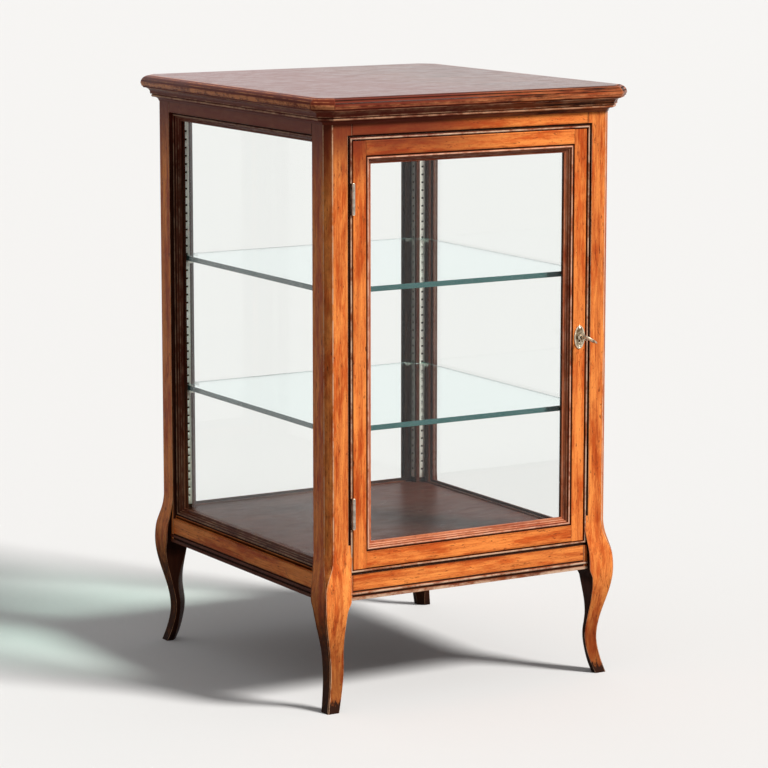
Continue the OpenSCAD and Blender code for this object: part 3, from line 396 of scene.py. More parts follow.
for number, (name, right, rear) in enumerate([("post_front_left", 0, 0), ("post_front_right", 1, 0),
                                              ("post_rear_left", 0, 1), ("post_rear_right", 1, 1)]):
    bm = bmesh.new()
    outer = [((CANT, 0), (0, CANT)), 1.0]
    lips = [((POST, 0), (0, POST)), 0.5]
    upright(bm, plain, KNEE_Z, SILL_Z, [outer, lips])
    open_part = rear_cut if rear else front_cut
    cuts = [] if rear else strike_cuts if right else hinge_cuts
    z = SILL_Z
    for z0, z1, kept, notch in cuts + [(HEAD_Z, HEAD_Z, 6, [])]:
        for low, high, found in ((z, z0, open_part[:6]), (z0, z1, open_part[:kept] + notch)):
            if high > low:
                edges = ((LIP, 0), (POST, 0), (0, POST))
                upright(bm, found + open_part[6:], low, high, [outer, [edges, 0.5]], False)
        z = z1
    upright(bm, plain, HEAD_Z, TOP_Z, [outer, lips])
    leg = bmesh.new()
    rings = 62
    swell(leg, [leg_ring(SWELL_Z * i / rings) for i in range(rings + 1)])
    relief = leg.loops.layers.float.new("relief")
    leg.normal_update()
    # Painted shade: the leg's inner faces take the dark inside wood.
    for face in leg.faces:
        face.material_index = 1 if max(face.normal.x, face.normal.y) > 0.5 and len(face.verts) == 4 else 0
    angled = [e for e in leg.edges if abs(e.verts[0].co.z - e.verts[1].co.z) > 0.5
              and e.calc_face_angle(0) > math.radians(12)]
    corners = {v for e in angled for v in e.verts}
    for face in leg.faces:
        for loop in face.loops:
            loop[relief] = POLISH_AND_SHADE if loop.vert in corners else 0
            # Painted shade: the outer side faces darken towards the foot, and the inner faces go darker from
            # just below the knee upwards.
            if face.normal.x < -0.5:
                loop[relief] -= 0.8 * (1 - s_curve(loop.vert.co.z, 80, 250))
            if face.material_index:
                loop[relief] = -0.9 * s_curve(loop.vert.co.z, 125, 160)
    ease(leg, angled, 1.1, 3, 0.75)
    join(bm, leg)
    if right:
        bm.transform(Matrix.Translation((CASE_W, 0, 0)) @ Matrix.Scale(-1, 4, (1, 0, 0)))
    if rear:
        bm.transform(Matrix.Translation((0, CASE_D, 0)) @ Matrix.Scale(-1, 4, (0, 1, 0)))
    lay_grain(bm, bm.faces, (0, 0, 1), number + 1)
    settle(bm, name + "_timber", "case", [name], case_wood, shaded_inside_wood, sharp=14)


# Rails of the case, and the inner boards
# Frieze and apron rails of the same hardwood are tenoned between the posts; the bottom board, the
# cleats and the door's stop are coloured darker as painted shade. They have the construction's shapes,
# with the arrises eased and the grain along each piece.
# Painted light: the frieze rails and the door's top rail are coloured paler, as if in full light.
painted_light_wood = wood("painted_light_wood", (1.0, 0.34, 0.077), (0.87, 0.178, 0.037), RUBBED_AND_HIGHLIGHT, sheen=0.08)
FROM_FRAME = TO_FRAME.inverted()


def taken_from(name):
    """A drawing of a node of the construction, with doubles merged and flat faces joined."""
    bm = bmesh.new()
    bm.from_mesh(nodes[name].data)
    bm.transform(FROM_FRAME)
    bmesh.ops.remove_doubles(bm, verts=bm.verts, dist=0.002)
    bmesh.ops.dissolve_limit(bm, angle_limit=math.radians(0.6), verts=bm.verts, edges=bm.edges, delimit=set())
    return bm


def long_arrises(bm, least):
    """The arrises over this length, where two faces meet at more than 35 degrees."""
    return [e for e in bm.edges if e.calc_length() > least and len(e.link_faces) == 2
            and e.calc_face_angle(0) > math.radians(35)]


def darken_rim(bm, outward, width):
    """Old polish and painted shade darken the edges of the face that shows."""
    relief = bm.loops.layers.float["relief"]
    faces = [f for f in bm.faces if f.normal.dot(Vector(outward)) > 0.999 and f.calc_area() > 60]
    made = bmesh.ops.inset_region(bm, faces=faces, thickness=width, use_boundary=True, use_even_offset=True)
    inner = {v for f in faces for v in f.verts}
    for loop in [loop for f in made["faces"] for loop in f.loops]:
        loop[relief] = 0 if loop.vert in inner else POLISH_AND_SHADE


def dress(name, along, seed, width=0.5, body="case", material=case_wood, joint=0.3, shows=None):
    """A plain rail or board with its arrises eased, and dark in its joints."""
    bm = taken_from(name)
    along = Vector(along)
    ends = [e for e in long_arrises(bm, 10) if abs((e.verts[0].co - e.verts[1].co).dot(along)) < 0.1]
    ease(bm, ends, joint, 1, worn=-1)
    ease(bm, [e for e in long_arrises(bm, 30) if abs((e.verts[0].co - e.verts[1].co).dot(along)) > 0.1],
         width, worn=0.55)
    relief = bm.loops.layers.float["relief"]
    for loop in [loop for face in bm.faces if face.calc_area() > 60 for loop in face.loops]:
        loop[relief] = 0
    if shows:
        bm.normal_update()
        darken_rim(bm, shows, 4)
    lay_grain(bm, bm.faces, along, seed)
    settle(bm, name + "_timber", body, [name], material, flat_over=60)


for number, side in enumerate(("front", "left", "right", "rear")):
    along = (1, 0, 0) if side in ("front", "rear") else (0, 1, 0)
    outward = {"front": (0, -1, 0), "left": (-1, 0, 0), "right": (1, 0, 0), "rear": (0, 1, 0)}[side]
    dress("frieze_rail_" + side, along, 10 + number, material=painted_light_wood, joint=0.7, shows=outward)
    dress("apron_rail_" + side, along, 20 + number, joint=0.7, shows=outward)
for name, along, seed in (("bottom_board", (1, 0, 0), 31), ("door_stop", (0, 0, 1), 32),
                          ("top_cleats", (1, 0, 0), 33), ("bottom_cleats", (1, 0, 0), 34)):
    dress(name, along, seed, material=shaded_inside_wood)


# Moulding along the foot of the aprons
# A strip of darker polished wood with a fillet, a quirk and a bead, planted along the lower edge
# of each apron from knee to knee.
moulded_wood = wood("moulded_wood", (0.36, 0.105, 0.036), (0.10, 0.024, 0.012), (0.62, 0.42, 0.29))
# A darker copy, for painted shade on the mouldings of the sides.
shaded_wood = wood("shaded_wood", (0.16, 0.045, 0.022), (0.045, 0.014, 0.009), (0.42, 0.27, 0.17), sheen=0.05)


def arc(x, y, r, a0, a1, n, wear0, wear1=None):
    """Points on an arc, with the wear going from its ends to its middle."""
    wear1 = wear0 if wear1 is None else wear1
    return [(x + r * math.cos(math.radians(a0 + (a1 - a0) * i / n)),
             y + r * math.sin(math.radians(a0 + (a1 - a0) * i / n)),
             wear0 + (wear1 - wear0) * math.sin(math.pi * i / n)) for i in range(n + 1)]


def strip(bm, section, start, end, inward, outward, mitres, seed):
    """One length of moulding. The section's points are (inwards, below the face, wear), and a
    mitre is how far the end moves along for each millimetre inwards."""
    start, end, inward, outward = Vector(start), Vector(end), Vector(inward), Vector(outward)
    along = (end - start).normalized()
    length = (end - start).length
    part = bmesh.new()
    relief = part.loops.layers.float.new("relief")
    face = part.faces.new([part.verts.new(start + inward * a - outward * d + along * a * mitres[0])
                           for a, d, _ in section])
    for g in bmesh.ops.extrude_face_region(part, geom=[face])["geom"]:
        if isinstance(g, bmesh.types.BMVert):
            g.co += along * (length - (g.co - start).dot(inward) * (mitres[0] + mitres[1]))
    for face in part.faces:
        capped = abs(face.normal.dot(along)) > 0.3 or len(face.verts) > 4
        for loop in face.loops:
            a, d = (loop.vert.co - start).dot(inward), -(loop.vert.co - start).dot(outward)
            wear = min(section, key=lambda p: (p[0] - a) ** 2 + (p[1] - d) ** 2)[2]
            loop[relief] = -1 if capped else wear
    lay_grain(part, part.faces, along, seed)
    join(bm, part)


def face_of(side):
    """Start corner, direction along, and outward direction of a side of the case."""
    return {"front": (Vector((0, 0, 0)), Vector((1, 0, 0)), Vector((0, -1, 0)), CASE_W),
            "right": (Vector((CASE_W, 0, 0)), Vector((0, 1, 0)), Vector((1, 0, 0)), CASE_D),
            "rear": (Vector((CASE_W, CASE_D, 0)), Vector((-1, 0, 0)), Vector((0, 1, 0)), CASE_W),
            "left": (Vector((0, CASE_D, 0)), Vector((0, -1, 0)), Vector((-1, 0, 0)), CASE_D)}[side]


UP = Vector((0, 0, 1))
foot_section = [(0, 3, -1), (0, -1.4, 0.3), (0.5, -1.4, 0.9), (4.2, -1.4, 0.6), (4.6, -1.3, 0.3),
                (5.0, 0.6, -1), (6.9, 0.6, -1)]
foot_section += arc(9.6, 0.2, 2.2, 180, 360, 10, -0.7, 1.0)
foot_section += [(12.3, 1, -1), (13, 1, -1), (13.6, 0.3, 0.2), (14, 0, 1.0), (14, 3, -1)]
bm = bmesh.new()
for number, side in enumerate(("front", "right", "rear", "left")):
    corner, along, outward, span = face_of(side)
    foot = corner + UP * KNEE_Z
    start, end = foot + along * KNEE_IN, foot + along * (span - KNEE_IN)
    strip(bm, foot_section, start, end, UP, outward, (0, 0), 40 + number)
relief = bm.loops.layers.float["relief"]
for face in bm.faces:  # the strips on the two sides are darker, as painted shade
    if not 3.1 < face.calc_center_median().x < CASE_W - 3.1:
        face.material_index = 1
        for loop in face.loops:
            loop[relief] = min(loop[relief], 0.1) - 0.35
settle(bm, "apron_moulding_timber", "case", ["apron_moulding"], moulded_wood, shaded_wood, sharp=35)


# Bead round the door opening
# A bead and hollow planted in a rebate of the posts and rails, cut away beside the two hinges so
# that their knuckles have room.
def mitred_frame(bm, section, side, rect, depth, seed, breaks=()):
    """Strips round a rectangle on one side of the case; breaks leave gaps in the left upright."""
    corner, along, outward, _ = face_of(side)
    x0, z0, x1, z1 = rect
    section = [(a, d + depth, wear) for a, d, wear in section]
    left, right = corner + along * x0, corner + along * x1
    strip(bm, section, left + UP * z0, right + UP * z0, UP, outward, (1, 1), seed)
    strip(bm, section, right + UP * z0, right + UP * z1, -along, outward, (1, 1), seed + 1)
    strip(bm, section, right + UP * z1, left + UP * z1, -UP, outward, (1, 1), seed + 2)
    ends = [z0, *[z for pair in breaks for z in pair], z1]
    for i in range(0, len(ends), 2):
        strip(bm, section, left + UP * ends[i + 1], left + UP * ends[i], along, outward,
              (1 if ends[i + 1] == z1 else 0, 1 if ends[i] == z0 else 0), seed + 3 + i)


opening_section = ([(0, 4, -1), (0, 0.9, -0.6), (0.5, 1.7, -1)] + arc(1.9, 1.4, 1.3, 150, 30, 4, -1)
                   + arc(5.25, 1.1, 1.75, 180, 360, 10, -0.8, 1.0) + [(7, 4, -1)])
bm = bmesh.new()
mitred_frame(bm, opening_section, "front", (LIP, SILL_Z, CASE_W - LIP, HEAD_Z), 0, 50,
             [(z - 1, z + HINGE_H + 1) for z in HINGES])
settle(bm, "opening_bead_timber", "case", ["opening_bead"], moulded_wood, sharp=35)


# Mouldings, panes and beads of the fixed lights
# Each side and the back has a pane of 4 mm glass behind a moulding with a quirk, a bead and a cyma,
# coloured dark as painted shade, and held from inside by plain beads.
PANE_T, PANE_DEEP, LIGHT_SILL = 4, 16.6, 208


def cyma(x0, x1, d0, d1, n=9):
    wear = (-0.6, 0.2, 0.65, 0.4, -0.75, 0.35, 0.7, 0.3, -0.7, 0.5)
    return [(x0 + (x1 - x0) * i / n, d0 + (d1 - d0) * s_curve(i, 0, n), wear[i]) for i in range(n + 1)]


pane_section = [(0, 12, -1), (0, 1.9, -1), (2.2, 1.9, -1)] + arc(3.9, 2.1, 1.6, 180, 360, 10, -0.8, 1.0)
pane_section += cyma(5.7, 11.3, 3.2, 8.4) + [(12.4, 8.4, 0.2), (13, 8.8, 0.5), (13, 12, -0.6)]
bead_section = [(0, 5, -0.6), (0, 0, -1), (9.5, 0, -1), (10, 0.6, -0.2)] + arc(8, 3, 2, 0, 90, 5, 0.3)
glass, tree, shader = surface("pane_glass", Base_Color=(0.97, 0.985, 0.98, 1), Roughness=0.0, IOR=1.3,
                              Transmission_Weight=1.0)


def let_light_through(tree, shader, tint):
    """Shadow and diffuse rays pass a pane as if it were only tinted air."""
    path = shade(tree, "LightPath")
    passes = sums(tree, path.outputs["Is Shadow Ray"], path.outputs["Is Diffuse Ray"], "MAXIMUM")
    clear = shade(tree, "BsdfTransparent", {"Color": tint})
    both = shade(tree, "MixShader", {0: passes, 1: shader.outputs[0], 2: clear.outputs[0]})
    tree.links.new(both.outputs[0], tree.nodes["Material Output"].inputs["Surface"])


let_light_through(tree, shader, (0.94, 0.96, 0.95, 1))


def slab(bm, low, high, width=0.3, segments=2):
    """A flat piece with eased edges, between two corners."""
    part = bmesh.new()
    bmesh.ops.create_cube(part, size=1)
    low, high = Vector(low), Vector(high)
    part.transform(Matrix.Translation((low + high) / 2) @ Matrix.Diagonal((*(high - low), 1)))
    ease(part, list(part.edges), width, segments)
    join(bm, part)


for number, side in enumerate(("left", "right", "rear")):
    corner, along, outward, span = face_of(side)
    moulding, bead, pane = "glazing_moulding_" + side, "glazing_bead_" + side, "pane_" + side
    rect = (POST, LIGHT_SILL, span - POST, HEAD_Z)
    bm = bmesh.new()
    mitred_frame(bm, pane_section, side, rect, PANE_DEEP - 12, 60 + 10 * number)
    settle(bm, moulding + "_timber", "case", [moulding], shaded_wood, sharp=35)
    bm = bmesh.new()
    mitred_frame(bm, bead_section, side, rect, PANE_DEEP + PANE_T, 65 + 10 * number)
    settle(bm, bead + "_timber", "case", [bead], shaded_inside_wood, sharp=35)
    bm = bmesh.new()
    a = corner + along * (POST + 1) + UP * (LIGHT_SILL + 1) - outward * PANE_DEEP
    b = corner + along * (span - POST - 1) + UP * (HEAD_Z - 1) - outward * (PANE_DEEP + PANE_T)
    slab(bm, [min(p) for p in zip(a, b)], [max(p) for p in zip(a, b)])
    settle(bm, pane + "_glass", "case", [pane], glass, sharp=20)


# Cornice and top
# A bead and cove and then a cavetto of dark stained wood run round the canted plan of the case in
# mitred lengths, and carry the polished top board with its thumb-moulded edge.
def plan(out):
    """The canted plan of the case, this far out."""
    k = CANT + (2 - math.sqrt(2)) * out
    x, y = CASE_W / 2 + out, CASE_D / 2 + out
    corners = [(k - x, -y), (x - k, -y), (x, k - y), (x, y - k),
               (x - k, y), (k - x, y), (-x, y - k), (-x, k - y)]
    return [Vector((CASE_W / 2 + px, CASE_D / 2 + py, 0)) for px, py in corners]


def mitred_ring(bm, section, z0, seed):
    """Eight strips round the plan; the section's points are (outwards, up from z0, wear)."""
    corners = plan(0)
    for i in range(8):
        start, end = corners[i] + UP * z0, corners[(i + 1) % 8] + UP * z0
        outward = (end - start).normalized().cross(UP)
        strip(bm, [(a, -h, wear) for a, h, wear in section], start, end, outward, UP,
              (-math.tan(math.radians(22.5)),) * 2, seed + i)


def cove(x, z, w, h, n, wear):
    """A hollow that runs inwards and up, with the wear at its two ends."""
    return [(x - w * math.cos(math.pi / 2 * i / n), z + h * math.sin(math.pi / 2 * i / n),
             wear[0] + (wear[1] - wear[0]) * i / n) for i in range(n + 1)]


cornice_wood = wood("cornice_wood", (0.45, 0.130, 0.045), (0.012, 0.006, 0.006), (0.70, 0.38, 0.22),
                    sheen=0.05, contrast=2.4)
# Painted light: high relief on the beads' crests and in the cavetto's hollow colours them pale, with their
# wear.
necking_section = [(0, 0, -1)] + cove(8.5, 0, 7.7, 6, 8, (0.3, -0.9))
necking_section += arc(9.2, 8.3, 2.2, -90, 90, 10, -0.8, 0.9) + [(9.2, 11, -1), (0, 11, -1)]
cavetto_section = [(0, 0, -1), (12.8, 0, -0.3), (13.2, 0.3, 0.8), (13.2, 2.5, 0.2)]
cavetto_section += cove(23.2, 2.5, 10, 7.5, 10, (0.2, 0.75)) + [(23.2, 12, -0.8), (0, 12, -1)]
NECKING_Z, CAVETTO_Z = 860.5, 871.5
for name, section, z0, seed in (("necking_moulding", necking_section, NECKING_Z, 100),
                                ("cornice_moulding", cavetto_section, CAVETTO_Z, 110)):
    bm = bmesh.new()
    mitred_ring(bm, section, z0, seed)
    settle(bm, name + "_timber", "case", [name], cornice_wood, sharp=35)

top_wood = wood("top_wood", (0.20, 0.068, 0.038), (0.040, 0.015, 0.011), (0.5, 0.3, 0.2),
                coat=0.22, sheen=0.35, tint=(1.0, 0.8, 0.7))
# Its oranger rubbed colour also carries the painted light on the left of the edge.
edge_wood = wood("edge_wood", (0.45, 0.130, 0.045), (0.012, 0.006, 0.006), (0.82, 0.31, 0.13),
                 sheen=0.05, contrast=2.4)

# The edge, from below, as (outwards, up, relief): a small round, a step, and the thumb, whose relief
# goes by fine pale and dark lines along the edge.
ROUND_OUT, THUMB_OUT, THUMB_Z, ROUND_R, THUMB_W, THUMB_H = 24.2, 13.5, 888.5, 2.6, 13.3, 11.5
CREST = THUMB_Z + THUMB_H - 0.1
edge = [(ROUND_OUT, TOP_Z, -0.6), (ROUND_OUT + 1.2, TOP_Z + 0.6, 0.3)]
edge += [(ROUND_OUT + ROUND_R * math.cos(math.radians(a)), THUMB_Z + ROUND_R * math.sin(math.radians(a)),
          0.9 + a / 300) for a in (-55, -35, -15)]
fine = (0.5, 0.5, 0.0, -1, -0.8, 0.3, -0.2, -1, -1, -0.1, 0.4, -0.4, -1, -1, 0.6, 0.2)
for i, wear in enumerate(fine):
    a = math.radians(6 * i)
    edge.append((THUMB_OUT + THUMB_W * math.cos(a), THUMB_Z + THUMB_H * math.sin(a), wear))
bm = bmesh.new()
swell(bm, [[p + UP * z for p in plan(out)] for out, z, _ in edge])
relief = bm.loops.layers.float.new("relief")
lay_grain(bm, bm.faces, (1, 0, 0), 120)
bm.normal_update()
for face in [face for face in bm.faces if len(face.verts) == 4]:
    centre = face.calc_center_median()
    across = abs(centre.x - CASE_W / 2) / CASE_W < abs(centre.y - CASE_D / 2) / CASE_D
    quarter = (centre.x > CASE_W / 2) + 2 * (centre.y > CASE_D / 2)
    lay_grain(bm, [face], (1, 0, 0) if across else (0, 1, 0), 121 + quarter)
    face.material_index = 1
    paler = 0 if across or centre.x > 0 else 0.45  # painted light: the left side of the edge is coloured paler
    for loop in face.loops:
        z = loop.vert.co.z
        loop[relief] = paler + min(edge, key=lambda e: abs(e[1] - z))[2] * (0.75 if z < CREST else 1)
ease(bm, [e for e in bm.edges if abs(e.verts[0].co.z - e.verts[1].co.z) > 0.1], 0.8, 2, 0.4)
settle(bm, "top_board_timber", "case", ["top_board"], top_wood, edge_wood, sharp=35, flat_over=5000)


# Screws
# Plain countersunk steel screws with slotted heads, turned in flush: small ones hold the hinges,
# the strike and the lock, longer ones go up through the cleats into the top and bottom boards.
tarnish, given, gives = effect("Tarnish", [
    ("Metal", "Color"), ("Dull", "Color"), ("Amount", "Float", 0.5), ("Polish", "Float", 0.3),
    ("Relief", "Float", 0.0)],
    [("Color", "Color"), ("Roughness", "Float"), ("Height", "Float")])
place = shade(tarnish, "TexCoord").outputs["Object"]
blotch = stretched_noise(tarnish, place, (140, 140, 140), Detail=4.0, Roughness=0.65)
scratch = stretched_noise(tarnish, place, (2600, 2600, 380), Detail=2.0)
dull = sums(tarnish, level(tarnish, blotch, 0.3, 0.7, 0.35, 1.0), given["Amount"], "MULTIPLY")
rubbed = sums(tarnish, level(tarnish, given["Relief"], 0.1, 0.9), 0.8, "MULTIPLY")
dull = sums(tarnish, dull, rubbed, "SUBTRACT")
dull = sums(tarnish, dull, level(tarnish, given["Relief"], -0.1, -0.9), "ADD")
dull = shade(tarnish, "Clamp", {"Value": dull}).outputs[0]
tarnish.links.new(blend(tarnish, dull, given["Metal"], given["Dull"]), gives["Color"])
tarnish.links.new(sums(tarnish, sums(tarnish, given["Polish"], sums(tarnish, dull, 0.3, "MULTIPLY")),
                       level(tarnish, scratch, 0.4, 0.8, 0, 0.12)), gives["Roughness"])
tarnish.links.new(sums(tarnish, scratch, blotch), gives["Height"])


def metal(name, bright, dull, amount, polish, metallic=1.0):
    """Metal that is dull in its recesses and in blotches, and bright where hands rub it."""
    material, tree, shader = surface(name, Metallic=metallic)
    look = shade(tree, "Group", {}, node_tree=tarnish)
    tree.links.new(shade(tree, "Attribute", attribute_name="relief").outputs["Fac"], look.inputs["Relief"])
    look.inputs["Metal"].default_value = (*bright, 1)
    look.inputs["Dull"].default_value = (*dull, 1)
    look.inputs["Amount"].default_value = amount
    look.inputs["Polish"].default_value = polish
    bump = shade(tree, "Bump", {"Height": look.outputs["Height"], "Strength": 0.15, "Distance": 0.0002})
    tree.links.new(look.outputs["Color"], shader.inputs["Base Color"])
    tree.links.new(look.outputs["Roughness"], shader.inputs["Roughness"])
    tree.links.new(bump.outputs[0], shader.inputs["Normal"])
    return material


steel = metal("steel", (0.62, 0.62, 0.62), (0.2, 0.19, 0.18), 0.5, 0.3)


def turned(bm, profile, centre, axis, steps=32):
    """A turned piece. The profile's points are (radius, distance along the axis, wear)."""
    part = bmesh.new()
    ends = [part.verts.new((r, 0, h)) for r, h, _ in profile]
    lines = [part.edges.new(pair) for pair in zip(ends, ends[1:])]
    bmesh.ops.spin(part, geom=ends + lines, cent=(0, 0, 0), axis=UP, angle=math.tau, steps=steps,
                   use_merge=True)
    bmesh.ops.remove_doubles(part, verts=part.verts, dist=0.0005)
    relief = part.loops.layers.float.new("relief")
    for loop in [loop for face in part.faces for loop in face.loops]:
        r, h = loop.vert.co.xy.length, loop.vert.co.z
        loop[relief] = min(profile, key=lambda p: (p[0] - r) ** 2 + (p[1] - h) ** 2)[2]
    tilt = UP.rotation_difference(Vector(axis)).to_matrix().to_4x4()
    part.transform(Matrix.Translation(centre) @ tilt)
    join(bm, part)


def screw(bm, place, into, head, depth, shank, length, seed):
    """A countersunk screw with a slotted head, its point going the way of into."""
    slot = 0.35 * depth
    low = head - (head - shank) * slot / depth
    turned(bm, [(0, slot, -1), (low, slot, -1), (shank, depth, -0.3), (shank, length - 2, -0.3),
                (0.15, length, -0.3), (0, length, -0.3)], place, into, 20)
    part = bmesh.new()
    start = math.degrees(math.asin(0.12))
    for way in (1, -1):
        half = [math.radians(start + (180 - 2 * start) * i / 12) for i in range(13)]
        swell(part, [[(way * r * math.cos(t), way * r * math.sin(t), h) for t in half]
                     for r, h in ((low, slot), (head - 0.12, 0.08), (head - 0.3, 0.0))])
    tilt = UP.rotation_difference(Vector(into)).to_matrix().to_4x4()
    part.transform(Matrix.Translation(place) @ tilt @ Matrix.Rotation(seed * 1.9, 4, "Z"))
    join(bm, part)


# Each kind of screw: radius of the head, its depth, radius of the shank, and length.
HINGE_SCREW, STRIKE_SCREW, LOCK_SCREW = (2.4, 1.2, 1.2, 13), (2.3, 1.1, 1.2, 12), (2.2, 1.1, 1.1, 12)
BOARD_SCREW = (3.8, 2, 1.9)
POST_LEAF_X, DOOR_LEAF_X, LEAF_Y = 42, 43.5, 7.1
STRIKE_X, SELVEDGE_X, KEY_Z = 448, 446.2, 523.75
FROM_PLATE_END, FROM_KEY = 4.55, 25
posts = bmesh.new()
doors = bmesh.new()
for z in HINGES:
    for k in (1, 3, 5):
        height = z + HINGE_H * k / 6
        screw(posts, (POST_LEAF_X, LEAF_Y, height), (-1, 0, 0), *HINGE_SCREW, k + z)
        screw(doors, (DOOR_LEAF_X, LEAF_Y, height), (1, 0, 0), *HINGE_SCREW, k + z + 1)
settle(posts, "hinge_post_screws_metal", "case", ["hinge_post_screws"], steel, sharp=40)
settle(doors, "hinge_door_screws_metal", "door", ["hinge_door_screws"], steel, sharp=40)
bm = bmesh.new()
for z in (PLATE_Z[0] + FROM_PLATE_END, PLATE_Z[1] - FROM_PLATE_END):
    screw(bm, (STRIKE_X, 16.75, z), (1, 0, 0), *STRIKE_SCREW, z)
settle(bm, "strike_screws_metal", "case", ["strike_screws"], steel, sharp=40)
bm = bmesh.new()
for z in (KEY_Z - FROM_KEY, KEY_Z + FROM_KEY):
    screw(bm, (SELVEDGE_X, 17, z), (-1, 0, 0), *LOCK_SCREW, z)
settle(bm, "lock_screws_metal", "door", ["lock_screws"], steel, sharp=40)
for name, z, length in (("top_screws", 869.5, 25), ("bottom_screws", 190, 23)):
    bm = bmesh.new()
    for side in ("front", "left", "right", "rear"):
        corner, along, outward, span = face_of(side)
        inset = 29 if side == "front" else 33
        for k in (1, 2, 3):
            place = corner + along * span * k / 4 - outward * inset + UP * z
            screw(bm, place, UP, *BOARD_SCREW, length, k + z)
    settle(bm, name + "_metal", "case", [name], steel, sharp=40)


# Slotted strips and shelf clips
# Strips of dull drawn brass with a row of punched slots are let into grooves of the posts, and
# bent clips hooked into the slots carry the shelves.
def hardware(name, body, material, width=0.15, rounds=1, floor=None, small=0, worn=0.9):
    """A metal piece in the construction's shape, its edges broken, its walls under small square
    millimetres and the floor at this depth darkened."""
    bm = taken_from(name)
    relief = bm.loops.layers.float.new("relief")
    for loop in [loop for face in bm.faces if face.calc_area() < small for loop in face.loops]:
        loop[relief] = -1
    ease(bm, long_arrises(bm, 0.6), width, rounds, worn)
    for loop in [loop for face in bm.faces for loop in face.loops]:
        if floor is not None and abs(loop.vert.co.y - floor) < 0.02:
            loop[relief] = -0.4
    settle(bm, name + "_metal", body, [name], material, sharp=40)


strip_brass = metal("strip_brass", (0.96, 0.92, 0.84), (0.26, 0.22, 0.17), 0.25, 0.25, 0.35)
hardware("shelf_strips_front", "case", strip_brass, 0.12, small=12, worn=0)
hardware("shelf_strips_rear", "case", strip_brass, 0.12, small=12, worn=0)
hardware("shelf_clips_lower", "case", strip_brass, 0.3)
hardware("shelf_clips_upper", "case", strip_brass, 0.3)


# Hinges
# Two small butts of tarnished brass, their leaves let in flush, turn on brighter pins with turned
# heads that stand above and below the knuckles.
hinge_brass = metal("hinge_brass", (0.58, 0.52, 0.44), (0.11, 0.085, 0.065), 0.7, 0.3)
bright_brass = metal("bright_brass", (0.93, 0.82, 0.62), (0.13, 0.085, 0.045), 0.8, 0.18)
hardware("hinge_post_leaves", "case", hinge_brass, 0.25)
hardware("hinge_door_leaves", "door", hinge_brass, 0.25)
PIN_X, PIN_Y = 42.75, -2.9
pin = [(0, -1.2, 0.9), (1.1, -1.15, 0.9), (1.75, -0.85, 0.9), (2.0, -0.45, 0.9), (1.9, 0, 0), (1.3, 0.05, -1),
       (1.3, HINGE_H - 0.05, -1), (1.9, HINGE_H, 0), (2.1, HINGE_H + 0.35, 0.9), (2.05, HINGE_H + 0.9, 0.9),
       (1.6, HINGE_H + 1.5, 0.9), (0.9, HINGE_H + 1.76, 0.9), (0, HINGE_H + 1.8, 0.9)]
bm = bmesh.new()
for z in HINGES:
    turned(bm, pin, (PIN_X, PIN_Y, z), UP)
settle(bm, "hinge_pins_metal", "case", ["hinge_pins"], bright_brass, sharp=60)


# Lock and strike
# A cupboard lock of brass plate is let into the back of the door's right stile. Its steel bolt
# slides sideways through the selvedge into a brass strike screwed to the post.
lock_brass = metal("lock_brass", (0.72, 0.55, 0.28), (0.25, 0.18, 0.09), 0.6, 0.3)
hardware("strike_plate", "case", lock_brass)
hardware("lock_case", "door", lock_brass)
hardware("lock_cap", "door", lock_brass)
hardware("lock_bolt", "bolt", steel, 0.3)


# Escutcheon
# An oval brass plate with a softened rim round the keyhole, fixed to the face of the stile by two
# round-headed pins.
hardware("escutcheon", "door", bright_brass, 0.22, rounds=3, floor=-1.4)
pin = [(0, -2.0, 0.9), (0.6, -1.95, 0.9), (1.1, -1.75, 0.9), (1.3, -1.42, -0.5), (0.7, -1.4, -1),
       (0.7, 5.5, 0), (0, 6, 0)]
KEY_X, PIN_FROM_KEY = 435.6, 13.55
bm = bmesh.new()
for z in (KEY_Z - PIN_FROM_KEY, KEY_Z + PIN_FROM_KEY):
    turned(bm, pin, (KEY_X, 0, z), (0, 1, 0), 20)
settle(bm, "escutcheon_pins_metal", "door", ["escutcheon_pins"], bright_brass, sharp=40)


# Glass shelves
# Two shelves of 8 mm glass with ground and polished edges that look deep green, cut round the
# posts, lying loose on the clips.
shelf_face, tree, shader = surface("shelf_face", Base_Color=(0.86, 0.95, 0.935, 1), Roughness=0.0, IOR=1.5,
                                   Transmission_Weight=1.0)
let_light_through(tree, shader, (0.9, 0.96, 0.94, 1))
shelf_edge, tree, shader = surface("shelf_edge", Base_Color=(0.035, 0.16, 0.155, 1), Roughness=0.08, IOR=1.5,
                                   Transmission_Weight=0.35)
let_light_through(tree, shader, (0.6, 0.8, 0.75, 1))
SHELF_T, SHELF_FRONT, SHELF_IN, POST_GAP = 8, 32, 26.5, 1.5
x0, x1, x2, x3 = SHELF_IN, POST + POST_GAP, CASE_W - POST - POST_GAP, CASE_W - SHELF_IN
y1, y2, y3 = POST + POST_GAP, CASE_D - POST - POST_GAP, CASE_D - SHELF_IN
shelf_outline = [(x1, SHELF_FRONT), (x2, SHELF_FRONT), (x2, y1), (x3, y1), (x3, y2), (x2, y2), (x2, y3),
                 (x1, y3), (x1, y2), (x0, y2), (x0, y1), (x1, y1)]
for name, z in (("shelf_lower", 407.9), ("shelf_upper", 612.7)):
    bm = bmesh.new()
    swell(bm, [[(x, y, z) for x, y in shelf_outline], [(x, y, z + SHELF_T) for x, y in shelf_outline]])
    ease(bm, list(bm.edges), 0.7, 2)
    bm.normal_update()
    for face in bm.faces:
        face.material_index = 0 if abs(face.normal.z) > 0.98 else 1
    settle(bm, name + "_glass", "case", [name], shelf_face, shelf_edge, sharp=20)


